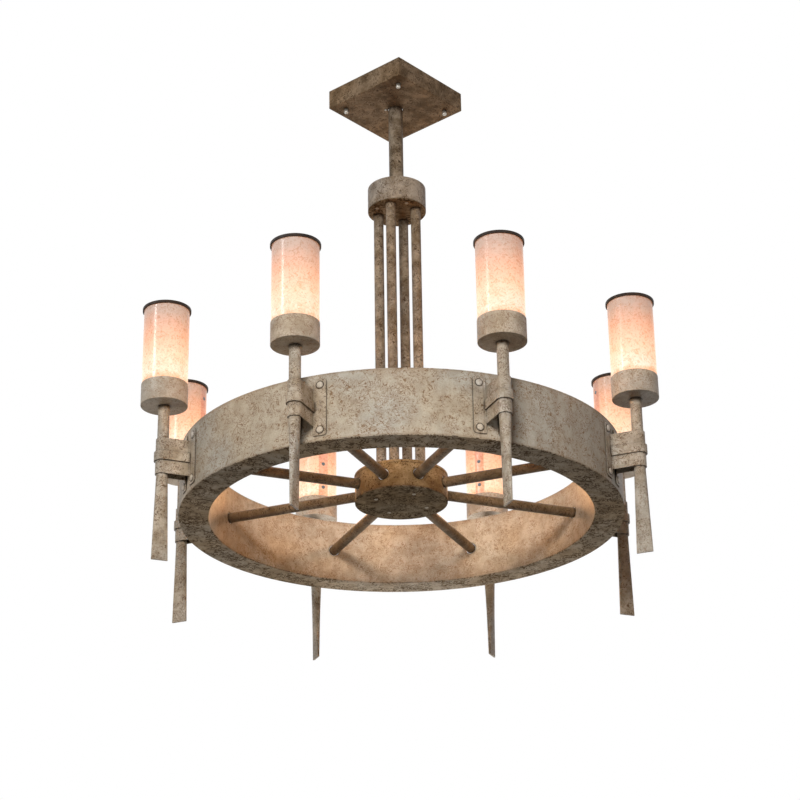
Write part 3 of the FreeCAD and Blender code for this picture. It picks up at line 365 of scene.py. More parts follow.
def pierced_disc(name, radius, bottom, top, ease=DISC_EASE):
    """A disc with four holes for the hangers. Each quarter is a flat sheet around its hole, bounded by two
    radii and a stretch of the edge, and a ring with a rounded profile closes the edge."""
    flat_radius = radius - ease
    along = np.linspace(0, 1, RADIUS_STEPS + 1)[:, None]
    quarter = math.pi / HANGERS
    arc = np.linspace(-quarter, quarter, DISC_STEPS + 1)
    corner = flat_radius * np.array([math.cos(quarter), math.sin(quarter)])
    outline = np.vstack([
        along * corner * [1, -1],
        flat_radius * np.column_stack([np.cos(arc), np.sin(arc)]),
        (1 - along) * corner,
    ])
    flat = holed(outline, TUBE_RADIUS + TUBE_FIT, top - bottom, (HANGER_CIRCLE, 0.0))
    flat[..., 2] = top - flat[..., 2]
    quarters = [stood(flat, turn=HANGER_TURN + k * TURN / HANGERS) for k in range(HANGERS)]
    edge = [(flat_radius, bottom), (radius, bottom), (radius, top), (flat_radius, top)]
    ring = turned(eased(edge, ease, closed=False), DISC_STEPS * HANGERS)
    return surface(name, quarters + [stood(ring, turn=HANGER_TURN - quarter)])


def dome(radius, height, rows=9, power=1.0):
    """A round head's profile. From its top at q = 0 to its edge at a right angle it is
    (R sin q, H (cos q)^power)."""
    q = np.linspace(0, 1, rows) * math.pi / 2
    return np.column_stack([radius * np.sin(q), height * np.cos(q) ** power])


def plate_screws(name, level, circle, node_name):
    """Four round heads below a plate, each with a cross-shaped recess: a dip of depth d e^(-n^4), where n is
    the distance from the nearer of two crossing lines over the recess's half width."""
    r, height = dome(SCREW_HEAD, SCREW_RISE, power=0.8).T[:, :, None]
    angle = np.linspace(0, TURN, SCREW_COLUMNS + 1)
    x, y = r * np.cos(angle), r * np.sin(angle)
    n = np.minimum(np.abs(x), np.abs(y)) / (RECESS_HALF_WIDTH * SCREW_HEAD)
    dip = RECESS_DEPTH * np.exp(-n ** 4) * (r < RECESS_REACH * SCREW_HEAD)
    head = np.stack([x, y, dip - height], axis=-1)
    face = turned([(SCREW_HEAD, 0), (0, 0)], SCREW_COLUMNS)
    heads = [stood(part, circle, HANGER_TURN + (k + 0.5) * TURN / HANGERS, level)
             for k in range(HANGERS) for part in (head, face)]
    fitted(surface(name, heads, 50), plate_steel, "bright_hardware", "frame", node_name)


def rubbed_steel(name, bright, dull, metallic=0.8):
    """Steel with a fine cloud of tarnish on it, and painted shade around the foot of each head."""
    material, tree, shader = finish(name)
    tarnish = noise(tree, 420, 4)
    colour = ramp(tree, tarnish, (0.35, dull), (0.6, bright))
    feed(shader, Base_Color=corner_shaded(tree, colour, (0.02, 0.015, 0.01), 0.003, 0.45, 0.85), Metallic=metallic,
         Roughness=ramp(tree, tarnish, (0.3, 0.5), (0.7, 0.28)))
    return material


drum_paint = weathered("drum_paint", pale=(0.31, 0.21, 0.105), deep=(0.185, 0.115, 0.052),
                       mark=(0.065, 0.034, 0.014), gloss=0.06)
# Painted shade: the plates under the hub and the collar have a much darker, browner copy of the paint.
shaded_base_paint = weathered("shaded_base_paint", pale=(0.235, 0.18, 0.12), deep=(0.14, 0.105, 0.068),
                       mark=(0.05, 0.032, 0.018), spread=0.06, coarse=0.8, bump=0.6, gloss=0.0)
plate_steel = rubbed_steel("plate_steel", (0.44, 0.37, 0.28), (0.25, 0.20, 0.145), 0.1)
low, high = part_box("hub_drum")
drum = pierced_hoop("hub_wall", HUB_RADIUS, HUB_SHEET, low.z, high.z)
fitted(drum, drum_paint, "drum_finish", "frame", "hub_drum")
lid = pierced_disc("hub_cover", LID_RADIUS, high.z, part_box("hub_lid")[1].z, LID_EASE)
fitted(lid, drum_paint, "drum_finish", "frame", "hub_lid")
low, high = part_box("hub_base_plate")
base_outline = [(0, low.z), (HUB_RADIUS, low.z), (HUB_RADIUS, high.z), (0, high.z)]
base = surface("hub_base", [turned(eased(base_outline, DISC_EASE, closed=False))])
fitted(base, shaded_base_paint, "drum_finish", "frame", "hub_base_plate")
plate_screws("hub_screw_heads", low.z, HUB_SCREW_CIRCLE, "hub_screws")


# The spokes: eight straight steel tubes that go through holes in the hub's wall and the rim's inner band and
# are clamped by nuts inside both. Their paint is rubbed down darker and browner than the rim's.
TUBE_WALL = 0.00165
TUBE_EASE = 0.0004
SPOKE_START = 0.080
SPOKE_END = 0.4075


def tube(radius, wall, start, end, ease=TUBE_EASE, columns=48):
    """A tube's surface along Z: its wall's section, with rounded corners, turned about Z."""
    section = [(radius - wall, start), (radius, start), (radius, end), (radius - wall, end)]
    return turned(eased(section, ease, 2), columns)


def laid(grid, lift):
    """The grid turned from standing along Z to lying along X, at a height."""
    return np.stack([grid[..., 2], grid[..., 1], lift - grid[..., 0]], axis=-1)


tube_paint = weathered("tube_paint", pale=(0.205, 0.145, 0.086), deep=(0.115, 0.076, 0.04),
                       mark=(0.05, 0.028, 0.013))
spoke = laid(tube(TUBE_RADIUS, TUBE_WALL, SPOKE_START, SPOKE_END), wheel_plane)
fitted(surface("spoke_tubes", eight_times(spoke)), tube_paint, "tube_finish", "frame", "spokes")


# The hangers: four parallel steel tubes that carry the wheel. They rise from the hub's lid into the collar,
# and locknuts hold them inside both.
hanger_paint = weathered("hanger_paint", pale=(0.34, 0.285, 0.22), deep=(0.155, 0.115, 0.075),
                         mark=(0.05, 0.028, 0.015), gloss=0.1, roughness=0.36)
for number in range(1, HANGERS + 1):
    name = f"hanger_tube_{number}"
    low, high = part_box(name)
    middle = (low + high) / 2
    hanger = tube(TUBE_RADIUS, TUBE_WALL, low.z, high.z) + np.array([middle.x, middle.y, 0])
    fitted(surface(f"hanger_{number}", [hanger]), hanger_paint, "tube_finish", "frame", name)


# The collar: a spun steel drum that joins the stem to the hangers, closed below by a round plate that four
# screws hold to posts inside it.
COLLAR_RADIUS = 0.0634
COLLAR_INSIDE = 0.0614
COLLAR_SHEET = 0.002
COLLAR_EASE = 0.0012
COLLAR_SCREW_CIRCLE = 0.048
STEM_RADIUS = 0.0158
low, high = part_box("collar_body")
roof = high.z - COLLAR_SHEET
shell = [(STEM_RADIUS, high.z), (COLLAR_RADIUS, high.z), (COLLAR_RADIUS, low.z), (COLLAR_INSIDE, low.z),
         (COLLAR_INSIDE, roof), (STEM_RADIUS, roof)]
collar_paint = weathered("collar_paint", pale=(0.37, 0.325, 0.27), deep=(0.21, 0.165, 0.12),
                         mark=(0.07, 0.04, 0.02))
collar = surface("collar_drum", [turned(eased(shell, COLLAR_EASE))])
fitted(collar, collar_paint, "drum_finish", "frame", "collar_body")
low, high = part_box("collar_plate")
plate = pierced_disc("collar_base", COLLAR_RADIUS, low.z, high.z)
fitted(plate, shaded_base_paint, "drum_finish", "frame", "collar_plate")
plate_screws("collar_screw_heads", low.z, COLLAR_SCREW_CIRCLE, "collar_screws")


# The stem: one larger steel tube from the ceiling fixing down into the collar, where a nut holds it. The
# supply for the lamps comes down inside it.
STEM_WALL = 0.002
STEM_EASE = 0.0006
stem_paint = weathered("stem_paint", pale=(0.29, 0.235, 0.175), deep=(0.12, 0.088, 0.056),
                       mark=(0.04, 0.023, 0.012), gloss=0.08, roughness=0.38)
low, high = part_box("stem")
stem = surface("stem_tube", [tube(STEM_RADIUS, STEM_WALL, low.z, high.z, STEM_EASE, 64)])
fitted(stem, stem_paint, "tube_finish", "frame", "stem")


# The canopy: a square pan bent and welded from sheet, open against the ceiling, with a hole for the stem.
# Four ball nuts on its studs and one small screw show on its underside.
CANOPY_HALF = 0.105
CANOPY_SHEET = 0.0015
CANOPY_HOLE = 0.016475
CANOPY_TURN = math.radians(3.65)
CANOPY_EASE = 0.0007
CORNER_ROUND = 0.0015
CORNER_POINTS = 5
CORNERS = 4
SIDE_COLUMNS = 24
FLOOR_ROWS = 22
WALL_ROWS = 8
BALL_RADIUS = 0.0053
NECK_RADIUS = 0.0042
NECK_CHAMFER = (0.0005, 0.0006)
STUD_REACH = 0.1098
SMALL_HEAD = 0.003
SMALL_RISE = 0.0022
SMALL_SHANK = 0.0015


def square_outline(half, corner=CORNER_ROUND):
    """A square with rounded corners, from its middle right side and back to it, with the same number of
    points whatever its size: along each side evenly, and round each corner (1-t)^2 A + 2t(1-t) P + t^2 B."""
    t = np.linspace(0, 1, CORNER_POINTS)[:, None]
    start, tip, end = np.array([[half, half - corner], [half, half], [half - corner, half]])
    bend = (1 - t) ** 2 * start + 2 * t * (1 - t) * tip + t ** 2 * end
    rise = np.linspace(0, 1, SIDE_COLUMNS)[:-1, None] * [0, half - corner] + [half, 0]
    left = np.linspace(1, 0, SIDE_COLUMNS)[1:-1, None] * [half - corner, 0] + [0, half]
    quarter = np.vstack([rise, bend, left])
    right_angle = np.array([[0, 1], [-1, 0]])
    ring = np.vstack([quarter @ np.linalg.matrix_power(right_angle, k) for k in range(CORNERS)])
    return np.vstack([ring, ring[:1]])


def square_pan(low_edge, high_edge):
    """The pan's surface: from the stem's hole across the underside, up the wall, over its lip and back
    inside. Between the hole H and the wall's outline O the rows are (1-s) H + s O."""
    ease, ceiling = CANOPY_EASE, low_edge + CANOPY_SHEET
    outer = square_outline(CANOPY_HALF)
    inner = square_outline(CANOPY_HALF - CANOPY_SHEET, CORNER_ROUND * 0.5)
    round_hole = outer / np.linalg.norm(outer, axis=1, keepdims=True) * CANOPY_HOLE
    s = np.linspace(0, 1, FLOOR_ROWS)[:, None, None]
    under = (1 - s) * round_hole + s * square_outline(CANOPY_HALF - 2 * ease)
    inside = s[::-1] * inner + (1 - s[::-1]) * round_hole
    bend = square_outline(CANOPY_HALF - ease * 0.6)
    plans = np.concatenate([under, bend[None], np.repeat(outer[None], WALL_ROWS, axis=0),
                            np.repeat(inner[None], 2, axis=0), inside[1:], round_hole[None]])
    heights = [np.full(FLOOR_ROWS, low_edge), [low_edge + ease * 0.6],
               np.linspace(low_edge + ease * 2, high_edge, WALL_ROWS), [high_edge],
               np.full(FLOOR_ROWS, ceiling), [low_edge]]
    return at_levels(plans, np.concatenate(heights))


canopy_paint = weathered("canopy_paint", pale=(0.27, 0.19, 0.12), deep=(0.125, 0.082, 0.045),
                         mark=(0.04, 0.022, 0.01), gloss=0.04)
low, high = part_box("canopy")
pan = surface("canopy_pan", [stood(square_pan(low.z, high.z), turn=CANOPY_TURN + math.pi / CORNERS)])
fitted(pan, canopy_paint, "canopy_finish", "canopy", "canopy")

bright_steel = rubbed_steel("bright_steel", (0.60, 0.58, 0.53), (0.36, 0.33, 0.28))
low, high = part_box("canopy_nuts")
bow = np.linspace(-math.pi / 2, math.acos(NECK_RADIUS / BALL_RADIUS), 17)
ball = np.column_stack([BALL_RADIUS * np.cos(bow), low.z + BALL_RADIUS + BALL_RADIUS * np.sin(bow)])
knob = np.vstack([ball, [(NECK_RADIUS, high.z - NECK_CHAMFER[1]), (NECK_RADIUS - NECK_CHAMFER[0], high.z),
                         (0, high.z)]])
nuts = [stood(turned(knob, 40), STUD_REACH, CANOPY_TURN + k * TURN / CORNERS) for k in range(CORNERS)]
fitted(surface("ball_nuts", nuts), bright_steel, "bright_hardware", "canopy", "canopy_nuts")
low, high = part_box("canopy_screw")
centre = (low + high) / 2
under_head = low.z + SMALL_RISE
button = dome(SMALL_HEAD, -SMALL_RISE) + [0, under_head]
small = turned(np.vstack([button, [(SMALL_SHANK, under_head), (SMALL_SHANK, high.z), (0, high.z)]]), 32)
small = surface("small_screw", [small + np.array([centre.x, centre.y, 0])])
fitted(small, bright_steel, "bright_hardware", "canopy", "canopy_screw")


# The fixings that the canopy, collar, hub and rim hide: bar, studs, nipple, nuts and plug of zinc-plated
# steel. Those at the ceiling show only when the canopy is slid down its stem.
zinc, tree, shader = finish("zinc_plate")
spangle = node(tree, "TexVoronoi", Vector=node(tree, "TexCoord").outputs["Object"], Scale=260)
plated = blended(tree, 0.25, (0.58, 0.60, 0.62), spangle.outputs["Color"], "SOFT_LIGHT")
feed(shader, Base_Color=plated, Metallic=0.9, Roughness=0.36)
for name in ("mounting_crossbar", "stud_cross", "canopy_studs", "stem_nipple", "nipple_locknut",
             "stem_top_plug", "stem_locknut", "hanger_locknuts", "spoke_locknuts"):
    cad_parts[name].data.materials.clear()
    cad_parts[name].data.materials.append(zinc)


# The torch stems: steel tubes, hammered flat below the bracket into a blade that widens towards its square
# foot. The upper end carries the cup and its lampholder.
TORCH_AXIS = 0.5121
TORCH_RADIUS = 0.0116
TORCH_ROWS = 12
TORCH_COLUMNS = 64
BLADE_START = 0.040
BLADE_HALF_WIDTH = 0.01675
BLADE_HALF_THICK = 0.002
BLADE_ROWS = 26
SIDE_SPREAD = 1.35
END_COSINE = 0.74
END_SINE = 0.672


def torch_tube(top, foot):
    """A tube along Z whose section runs from a circle to a flat bar with round ends. With t from 0 at the
    start of the blade to 1 at its foot, each point is (1-t) circle + t bar. The points of the circle whose
    cosine is past 0.74 go to the bar's ends, and the others along its sides. Both ends are closed."""
    angle = np.linspace(0, TURN, TORCH_COLUMNS + 1)
    cosine, sine = np.cos(angle), np.sin(angle)
    along = (BLADE_HALF_WIDTH - BLADE_HALF_THICK) * np.clip(cosine * SIDE_SPREAD, -1, 1)
    end = np.sign(cosine) * np.clip((np.abs(cosine) - END_COSINE) / (1 - END_COSINE), 0, 1) ** 0.5
    side = np.sign(sine) * np.clip(np.abs(sine) / END_SINE, 0, 1) ** 0.5
    circle = TORCH_RADIUS * np.column_stack([cosine, sine])
    bar = np.column_stack([along + BLADE_HALF_THICK * end, BLADE_HALF_THICK * side])
    start = wheel_plane - BLADE_START
    heights = np.concatenate([np.linspace(top, start, TORCH_ROWS), np.linspace(start, foot, BLADE_ROWS)[1:]])
    t = np.clip((start - heights) / (start - foot), 0, 1)[:, None, None]
    grid = at_levels((1 - t) * circle + t * bar, heights)
    return np.concatenate([grid[:1] * [0, 0, 1], grid, grid[-1:] * [0, 0, 1]])


torch_paint = weathered("torch_paint", pale=(0.52, 0.46, 0.38), deep=(0.33, 0.275, 0.205),
                        mark=(0.13, 0.07, 0.033), gloss=0.22, roughness=0.38)
low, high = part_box("torch_stems")
torch = torch_tube(high.z, low.z) + np.array([TORCH_AXIS, 0, 0])
fitted(surface("torch_tubes", eight_times(torch), 50), torch_paint, "torch_finish", "frame", "torch_stems")


# The brackets: a strap bent round each torch stem, turned out against the rim into a taller flange on both
# sides. A narrow band is wrapped over the strap's middle.
RIM_OUTSIDE = 0.4572
STRAP_SHEET = 0.0024
STRAP_INSIDE = 0.0117
STRAP_HALF_HEIGHT = 0.0375
STRAP_EASE = 0.0005
FLANGE_FACE = RIM_OUTSIDE + STRAP_SHEET
FLANGE_HALF_HEIGHT = 0.0575
FLANGE_REACH = 0.039
FLANGE_CORNER = 0.005
FLANGE_RUN = 0.0225
BEND_RADIUS = 0.0025
LEG_START = 0.0005
BAND_SHEET = 0.003
BAND_HALF_HEIGHT = 0.0095
BAND_EASE = 0.0007
BAND_GAP = 0.0001
BAND_START = 0.0004


def loop_round(offset, start_x):
    """The plan of a sheet's middle line from start_x along one side, round the torch stem and back: two
    straight legs and a half circle whose radius is offset."""
    legs = np.linspace(start_x, TORCH_AXIS, 9)[:, None]
    angle = np.linspace(-math.pi / 2, math.pi / 2, 33)[1:-1]
    bow = np.array([TORCH_AXIS, 0]) + offset * np.column_stack([np.cos(angle), np.sin(angle)])
    return np.vstack([np.hstack([legs, 0 * legs - offset]), bow, np.hstack([legs[::-1], 0 * legs + offset])])


def upright_strip(path, half_height, sheet, ease):
    """A strip on edge: its section, a rounded rectangle, is carried along the path, square to it, and its
    half height may change on the way. Both ends close onto the section's middle line."""
    along = np.gradient(path, axis=0)
    along /= np.linalg.norm(along, axis=1, keepdims=True)
    across = np.column_stack([-along[:, 1], along[:, 0]])
    corners = eased([(-sheet / 2, -1), (sheet / 2, -1), (sheet / 2, 1), (-sheet / 2, 1)], ease)
    side = np.sign(corners[:, 1])
    inset = np.abs(side - corners[:, 1])
    height = side * (half_height[:, None] - inset)
    plan = path[:, None] + across[:, None] * corners[:, :1]
    grid = np.concatenate([plan, (wheel_plane + height)[..., None]], axis=-1)
    first, last = grid[:1].copy(), grid[-1:].copy()
    first[..., :2], last[..., :2] = path[0], path[-1]
    return np.concatenate([first, grid, last])


def strap_path():
    """The strap's middle line in plan, and its half height on the way: along the rim, round a bend of radius
    r to the leg, and round the stem. The flange's free end has rounded corners: its half height there is
    H - (c - sqrt(c^2 - (c - d)^2)) at the distance d from the end, for the corner radius c."""
    half = STRAP_SHEET / 2
    face = RIM_OUTSIDE + half
    offset = STRAP_INSIDE + half
    bend = BEND_RADIUS + half
    bend_y = offset + bend
    bend_x = math.sqrt((face + bend) ** 2 - bend_y ** 2)
    touch = math.asin(bend_y / (face + bend))
    end = math.asin(FLANGE_REACH / face)
    d = np.concatenate([np.linspace(0, 1, 7) ** 2 * FLANGE_CORNER,
                        np.linspace(FLANGE_CORNER * 1.3, FLANGE_RUN, 7)])
    angle = end - d / face
    angle = np.append(angle[angle > touch], touch)
    flange = face * np.column_stack([np.cos(angle), np.sin(angle)])
    cut = np.clip(FLANGE_CORNER - (end - angle) * face, 0, None)
    tall = FLANGE_HALF_HEIGHT - (FLANGE_CORNER - np.sqrt(FLANGE_CORNER ** 2 - cut ** 2))
    sweep = np.linspace(math.pi + touch, 1.5 * math.pi, 9)[1:]
    corner = np.array([bend_x, bend_y]) + bend * np.column_stack([np.cos(sweep), np.sin(sweep)])
    upper = np.vstack([flange, corner])
    heights = np.concatenate([tall, np.full(4, FLANGE_HALF_HEIGHT), np.full(4, STRAP_HALF_HEIGHT)])
    loop = loop_round(offset, bend_x + LEG_START)
    path = np.vstack([upper * [1, -1], loop, upper[::-1]])
    return path, np.concatenate([heights, np.full(len(loop), STRAP_HALF_HEIGHT), heights[::-1]])


straps = surface("straps", eight_times(upright_strip(*strap_path(), STRAP_SHEET, STRAP_EASE)))
fitted(straps, torch_paint, "torch_finish", "frame", "bracket_straps")
wrap = loop_round(STRAP_INSIDE + STRAP_SHEET + BAND_GAP + BAND_SHEET / 2, FLANGE_FACE + BAND_START)
wrap = upright_strip(wrap, np.full(len(wrap), BAND_HALF_HEIGHT), BAND_SHEET, BAND_EASE)
fitted(surface("wraps", eight_times(wrap)), torch_paint, "torch_finish", "frame", "wrap_bands")


# The rivets: four to a bracket, of steel, through the flange and the rim's outer band. Their round heads are
# rubbed bright, and a dark ring of painted shade is laid round each.
RIVET_OFFSET = 0.027
RIVET_RISE = 0.046
RIVET_HEAD = 0.0068
RIVET_HEIGHT = 0.0034
RIVET_COLUMNS = 32
SHADE_RING_INSIDE = 0.0058
SHADE_RING_RADIUS = 0.0081
SHADE_RING_HEIGHT = 0.0004


def round_head(radius, height, columns, rows=9, power=1.0):
    """A round head that stands on Z = 0: the dome's profile, closed by a flat face, turned about Z."""
    return turned(np.vstack([dome(radius, height, rows, power), [(0, 0)]]), columns)


def at_rivets(grid):
    """The copies of a grid that stands on Z = 0, laid on the flanges with one at each rivet."""
    lying = laid(grid, 0.0) + np.array([FLANGE_FACE, 0, 0])
    swing = math.asin(RIVET_OFFSET / FLANGE_FACE)
    return [copy for side in (-swing, swing) for rise in (-RIVET_RISE, RIVET_RISE)
            for copy in eight_times(stood(lying, turn=side, lift=wheel_plane + rise))]


rivet_paint = weathered("rivet_paint", pale=(0.66, 0.60, 0.52), deep=(0.50, 0.44, 0.36),
                        mark=(0.22, 0.14, 0.08), shown=0.4, roughness=0.34, gloss=0.4)
head = round_head(RIVET_HEAD, RIVET_HEIGHT, RIVET_COLUMNS, power=0.9)
fitted(surface("rivet_heads", at_rivets(head)), rivet_paint, "rivet_finish", "frame", "bracket_rivets")
# The dark rings are painted shade: a thin near-black ring laid on the flange round each rivet head.
rivet_ring_shade = weathered("rivet_ring_shade", pale=(0.085, 0.06, 0.04), deep=(0.05, 0.035, 0.022), mark=(0.03, 0.02, 0.012))
shade_ring = turned([(SHADE_RING_INSIDE, 0), (SHADE_RING_RADIUS, SHADE_RING_HEIGHT), (SHADE_RING_RADIUS, 0)], RIVET_COLUMNS)
fitted(surface("rivet_shade_rings", at_rivets(shade_ring)), rivet_ring_shade, "torch_finish", "frame")


# The cups: spun from thin steel sheet, with a straight wall and a flat floor that sits on the torch stem.
# Each holds a lampholder and the foot of a shade.
CUP_RADIUS = 0.04735
CUP_SHEET = 0.0008
CUP_INSIDE = CUP_RADIUS - CUP_SHEET
CUP_EASE = 0.0014
CUP_COLUMNS = 112
cup_paint = weathered("cup_paint", pale=(0.54, 0.465, 0.375), deep=(0.39, 0.32, 0.24),
                      mark=(0.22, 0.12, 0.06), shown=0.7, gloss=0.22, roughness=0.36)
low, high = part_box("cups")
cup_outline = [(TORCH_RADIUS, low.z), (CUP_RADIUS, low.z), (CUP_RADIUS, high.z), (CUP_INSIDE, high.z),
               (CUP_INSIDE, low.z + CUP_SHEET), (TORCH_RADIUS, low.z + CUP_SHEET)]
cup = stood(turned(eased(cup_outline, CUP_EASE, 4), CUP_COLUMNS), TORCH_AXIS)
fitted(surface("spun_cups", eight_times(cup)), cup_paint, "torch_finish", "frame", "cups")


# The lampholders: glazed porcelain bodies on the cups' floors, with a groove at mid height and a socket for
# the bulb's screw base.
HOLDER_RADIUS = 0.0179
HOLDER_BORE = 0.0118
HOLDER_EASE = 0.001
GROOVE_RADIUS = 0.0168
GROOVE_LEVELS = (0.018, 0.0195, 0.0225, 0.024)
SOCKET_RADIUS = 0.0133
SOCKET_DEPTH = 0.028
low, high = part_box("lampholders")
floor_level = low.z
groove_radii = (HOLDER_RADIUS, GROOVE_RADIUS, GROOVE_RADIUS, HOLDER_RADIUS)
groove = [(radius, low.z + level) for radius, level in zip(groove_radii, GROOVE_LEVELS)]
holder_outline = [(HOLDER_BORE, low.z), (HOLDER_RADIUS, low.z), *groove, (HOLDER_RADIUS, high.z),
                  (SOCKET_RADIUS, high.z), (SOCKET_RADIUS, high.z - SOCKET_DEPTH),
                  (HOLDER_BORE, high.z - SOCKET_DEPTH)]
holder = stood(turned(eased(holder_outline, HOLDER_EASE), 64), TORCH_AXIS)
glaze, tree, shader = finish("porcelain_glaze")
veil = ramp(tree, noise(tree, 90, 3), (0.3, (0.80, 0.77, 0.71)), (0.7, (0.88, 0.86, 0.81)))
feed(shader, Base_Color=veil, Roughness=0.18)
fitted(surface("porcelain_holders", eight_times(holder)), glaze, "lampholder_porcelain", "frame",
       "lampholders")


# The shades: a mica sheet rolled into a cylinder, lapped on the side that faces the hub and held there by
# three small screws. The lamp makes it glow, brightest just above the cup, and the lap lets less light out.
SHADE_RADIUS = 0.0463
SHADE_SHEET = 0.0008
SHADE_HEIGHT = 0.213
SHADE_ROWS = 40
CUP_DEPTH = 0.046
LAP_WIDTH = 0.020
LAP_GAP = 0.0001
LAP_MARGIN = 0.0002
LAP_POINTS = 9
ROUND_POINTS = 120
STEP_POINTS = 12
STEP_IN = 0.25
SCREW_LEVELS = (0.066, 0.123, 0.180)
SEAM_HEAD = 0.0041
SEAM_RISE = 0.0014
SEAM_COLUMNS = 24
CLOUD_SHARE = 0.22
DOUBLE_TINT = (0.78, 0.40, 0.18)


def rolled_sheet(base):
    """A rolled sheet. Along the angle a, from one edge all the way round and on under it by the lap, the
    radius is R - (sheet + gap) (3 q^2 - 2 q^3), where q goes from 0 to 1 over the last quarter radian before
    the lap. Its upright edges close onto the sheet's middle."""
    lap = LAP_WIDTH / SHADE_RADIUS
    step = TURN - STEP_IN
    angle = np.concatenate([np.linspace(0, lap, LAP_POINTS)[:-1], np.linspace(lap, step, ROUND_POINTS)[:-1],
                            np.linspace(step, TURN, STEP_POINTS)[:-1],
                            np.linspace(TURN, TURN + lap, LAP_POINTS)])
    q = np.clip((angle - step) / STEP_IN, 0, 1)
    outside = SHADE_RADIUS - (SHADE_SHEET + LAP_GAP) * q * q * (3 - 2 * q)
    levels = np.linspace(base, base + SHADE_HEIGHT, SHADE_ROWS)
    heights = np.concatenate([levels, levels[-1:], levels[::-1], levels[:1]])
    depth = np.concatenate([np.zeros(SHADE_ROWS), np.full(SHADE_ROWS + 1, SHADE_SHEET), [0.0]])
    r = outside - depth[:, None]
    angle = angle + math.pi - lap / 2
    grid = np.stack([r * np.cos(angle), r * np.sin(angle), heights[:, None] + 0 * r], axis=-1)
    edges = grid[:, [0, -1]].copy()
    middle = outside[[0, -1]] - SHADE_SHEET / 2
    edges[..., 0] = middle * np.cos(angle[[0, -1]])
    edges[..., 1] = middle * np.sin(angle[[0, -1]])
    return np.concatenate([edges[:, :1], grid, edges[:, 1:]], axis=1)


def maths(tree, operation, *values):
    """The result of a Math node for numbers or sockets."""
    made = node(tree, "Math", operation=operation)
    for socket, value in zip(made.inputs, values):
        give(socket, value)
    return made.outputs[0]


def mica():
    """Translucent mica, lit from inside: a glow that is cream above the cup and amber towards the top, over
    fine pale fibres and soft amber clouds, with a deeper amber where the sheet is double."""
    material, tree, shader = finish("mica_sheet")
    height = node(tree, "SeparateXYZ", Vector=node(tree, "TexCoord").outputs["Object"]).outputs["Z"]
    level = node(tree, "MapRange", Value=height, From_Min=floor_level + CUP_DEPTH,
                 From_Max=floor_level + SHADE_HEIGHT).outputs["Result"]
    flakes = noise(tree, 120, 5, Roughness=0.7, Distortion=1.6)
    cloud = noise(tree, 24, 4, Roughness=0.65)
    uneven = maths(tree, "ADD", maths(tree, "MULTIPLY_ADD", cloud, CLOUD_SHARE, level), -CLOUD_SHARE / 2)
    glow = ramp(tree, uneven, (0.0, (0.90, 0.46, 0.22)), (0.07, (0.92, 0.68, 0.51)),
                (0.30, (0.86, 0.54, 0.32)), (0.60, (0.71, 0.29, 0.12)), (0.88, (0.34, 0.16, 0.088)),
                (1.0, (0.25, 0.12, 0.07)))
    glow = times(tree, glow, ramp(tree, flakes, (0.36, (0.86, 0.66, 0.48)), (0.52, 1.0)))
    glow = times(tree, glow, ramp(tree, cloud, (0.38, (0.99, 0.80, 0.62)), (0.58, 1.0)))
    lap = node(tree, "Attribute", attribute_name="lap").outputs["Fac"]
    glow = blended(tree, lap, glow, DOUBLE_TINT, "MULTIPLY")
    feed(shader, Base_Color=ramp(tree, flakes, (0.36, (0.28, 0.22, 0.18)), (0.52, (0.36, 0.34, 0.32))),
         Emission_Color=glow, Emission_Strength=1.0, Roughness=0.24)
    return material


mica_sheet = mica()
seam_steel = rubbed_steel("seam_steel", (0.20, 0.25, 0.28), (0.06, 0.075, 0.09), 0.6)
rolled = rolled_sheet(floor_level)
seam_head = laid(round_head(SEAM_HEAD, SEAM_RISE, SEAM_COLUMNS, 7), 0.0)
seam_head = seam_head * [-1, 1, 1] - np.array([SHADE_RADIUS, 0, 0])
for number, turn in enumerate(torch_turns, 1):
    shade = surface(f"mica_shade_{number}", [stood(rolled, TORCH_AXIS, turn)])
    points = np.empty(len(shade.data.vertices) * 3, np.float32)
    shade.data.vertices.foreach_get("co", points)
    own_x, own_y = stood(points.reshape(-1, 3), turn=-turn).T[:2]
    doubled = (own_x < TORCH_AXIS) & (np.abs(own_y) < LAP_WIDTH / 2 + LAP_MARGIN)
    lap = shade.data.attributes.new("lap", "FLOAT", "POINT")
    lap.data.foreach_set("value", doubled.astype(np.float32))
    shade.visible_shadow = False
    fitted(shade, mica_sheet, "shade_mica", f"shade_{number}", f"shade_{number}")
    heads = [stood(seam_head, TORCH_AXIS, turn, floor_level + level) for level in SCREW_LEVELS]
    fitted(surface(f"seam_screws_{number}", heads), seam_steel, "bright_hardware", f"shade_{number}")


# The trim rings: a spun steel ring with a groove below, painted nearly black and pressed over each shade's
# top edge, where it keeps the mica round.
TRIM_INSIDE = 0.0442
TRIM_RADIUS = 0.04955
TRIM_ROOF = 0.0015
TRIM_EASE = 0.0007
SLOT_INSIDE = 0.0454
SLOT_OUTSIDE = 0.0464
trim_paint = weathered("trim_paint", pale=(0.040, 0.030, 0.026), deep=(0.018, 0.014, 0.012),
                       mark=(0.06, 0.035, 0.02), roughness=0.42)
low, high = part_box("trim_ring_1")
roof = high.z - TRIM_ROOF
trim_outline = [(TRIM_INSIDE, high.z), (TRIM_INSIDE, low.z), (SLOT_INSIDE, low.z), (SLOT_INSIDE, roof),
                (SLOT_OUTSIDE, roof), (SLOT_OUTSIDE, low.z), (TRIM_RADIUS, low.z), (TRIM_RADIUS, high.z)]
trim = turned(eased(trim_outline, TRIM_EASE, 2), CUP_COLUMNS)
for number, turn in enumerate(torch_turns, 1):
    ring = surface(f"dark_trim_{number}", [stood(trim, TORCH_AXIS, turn)])
    fitted(ring, trim_paint, "trim_finish", f"shade_{number}", f"trim_ring_{number}")


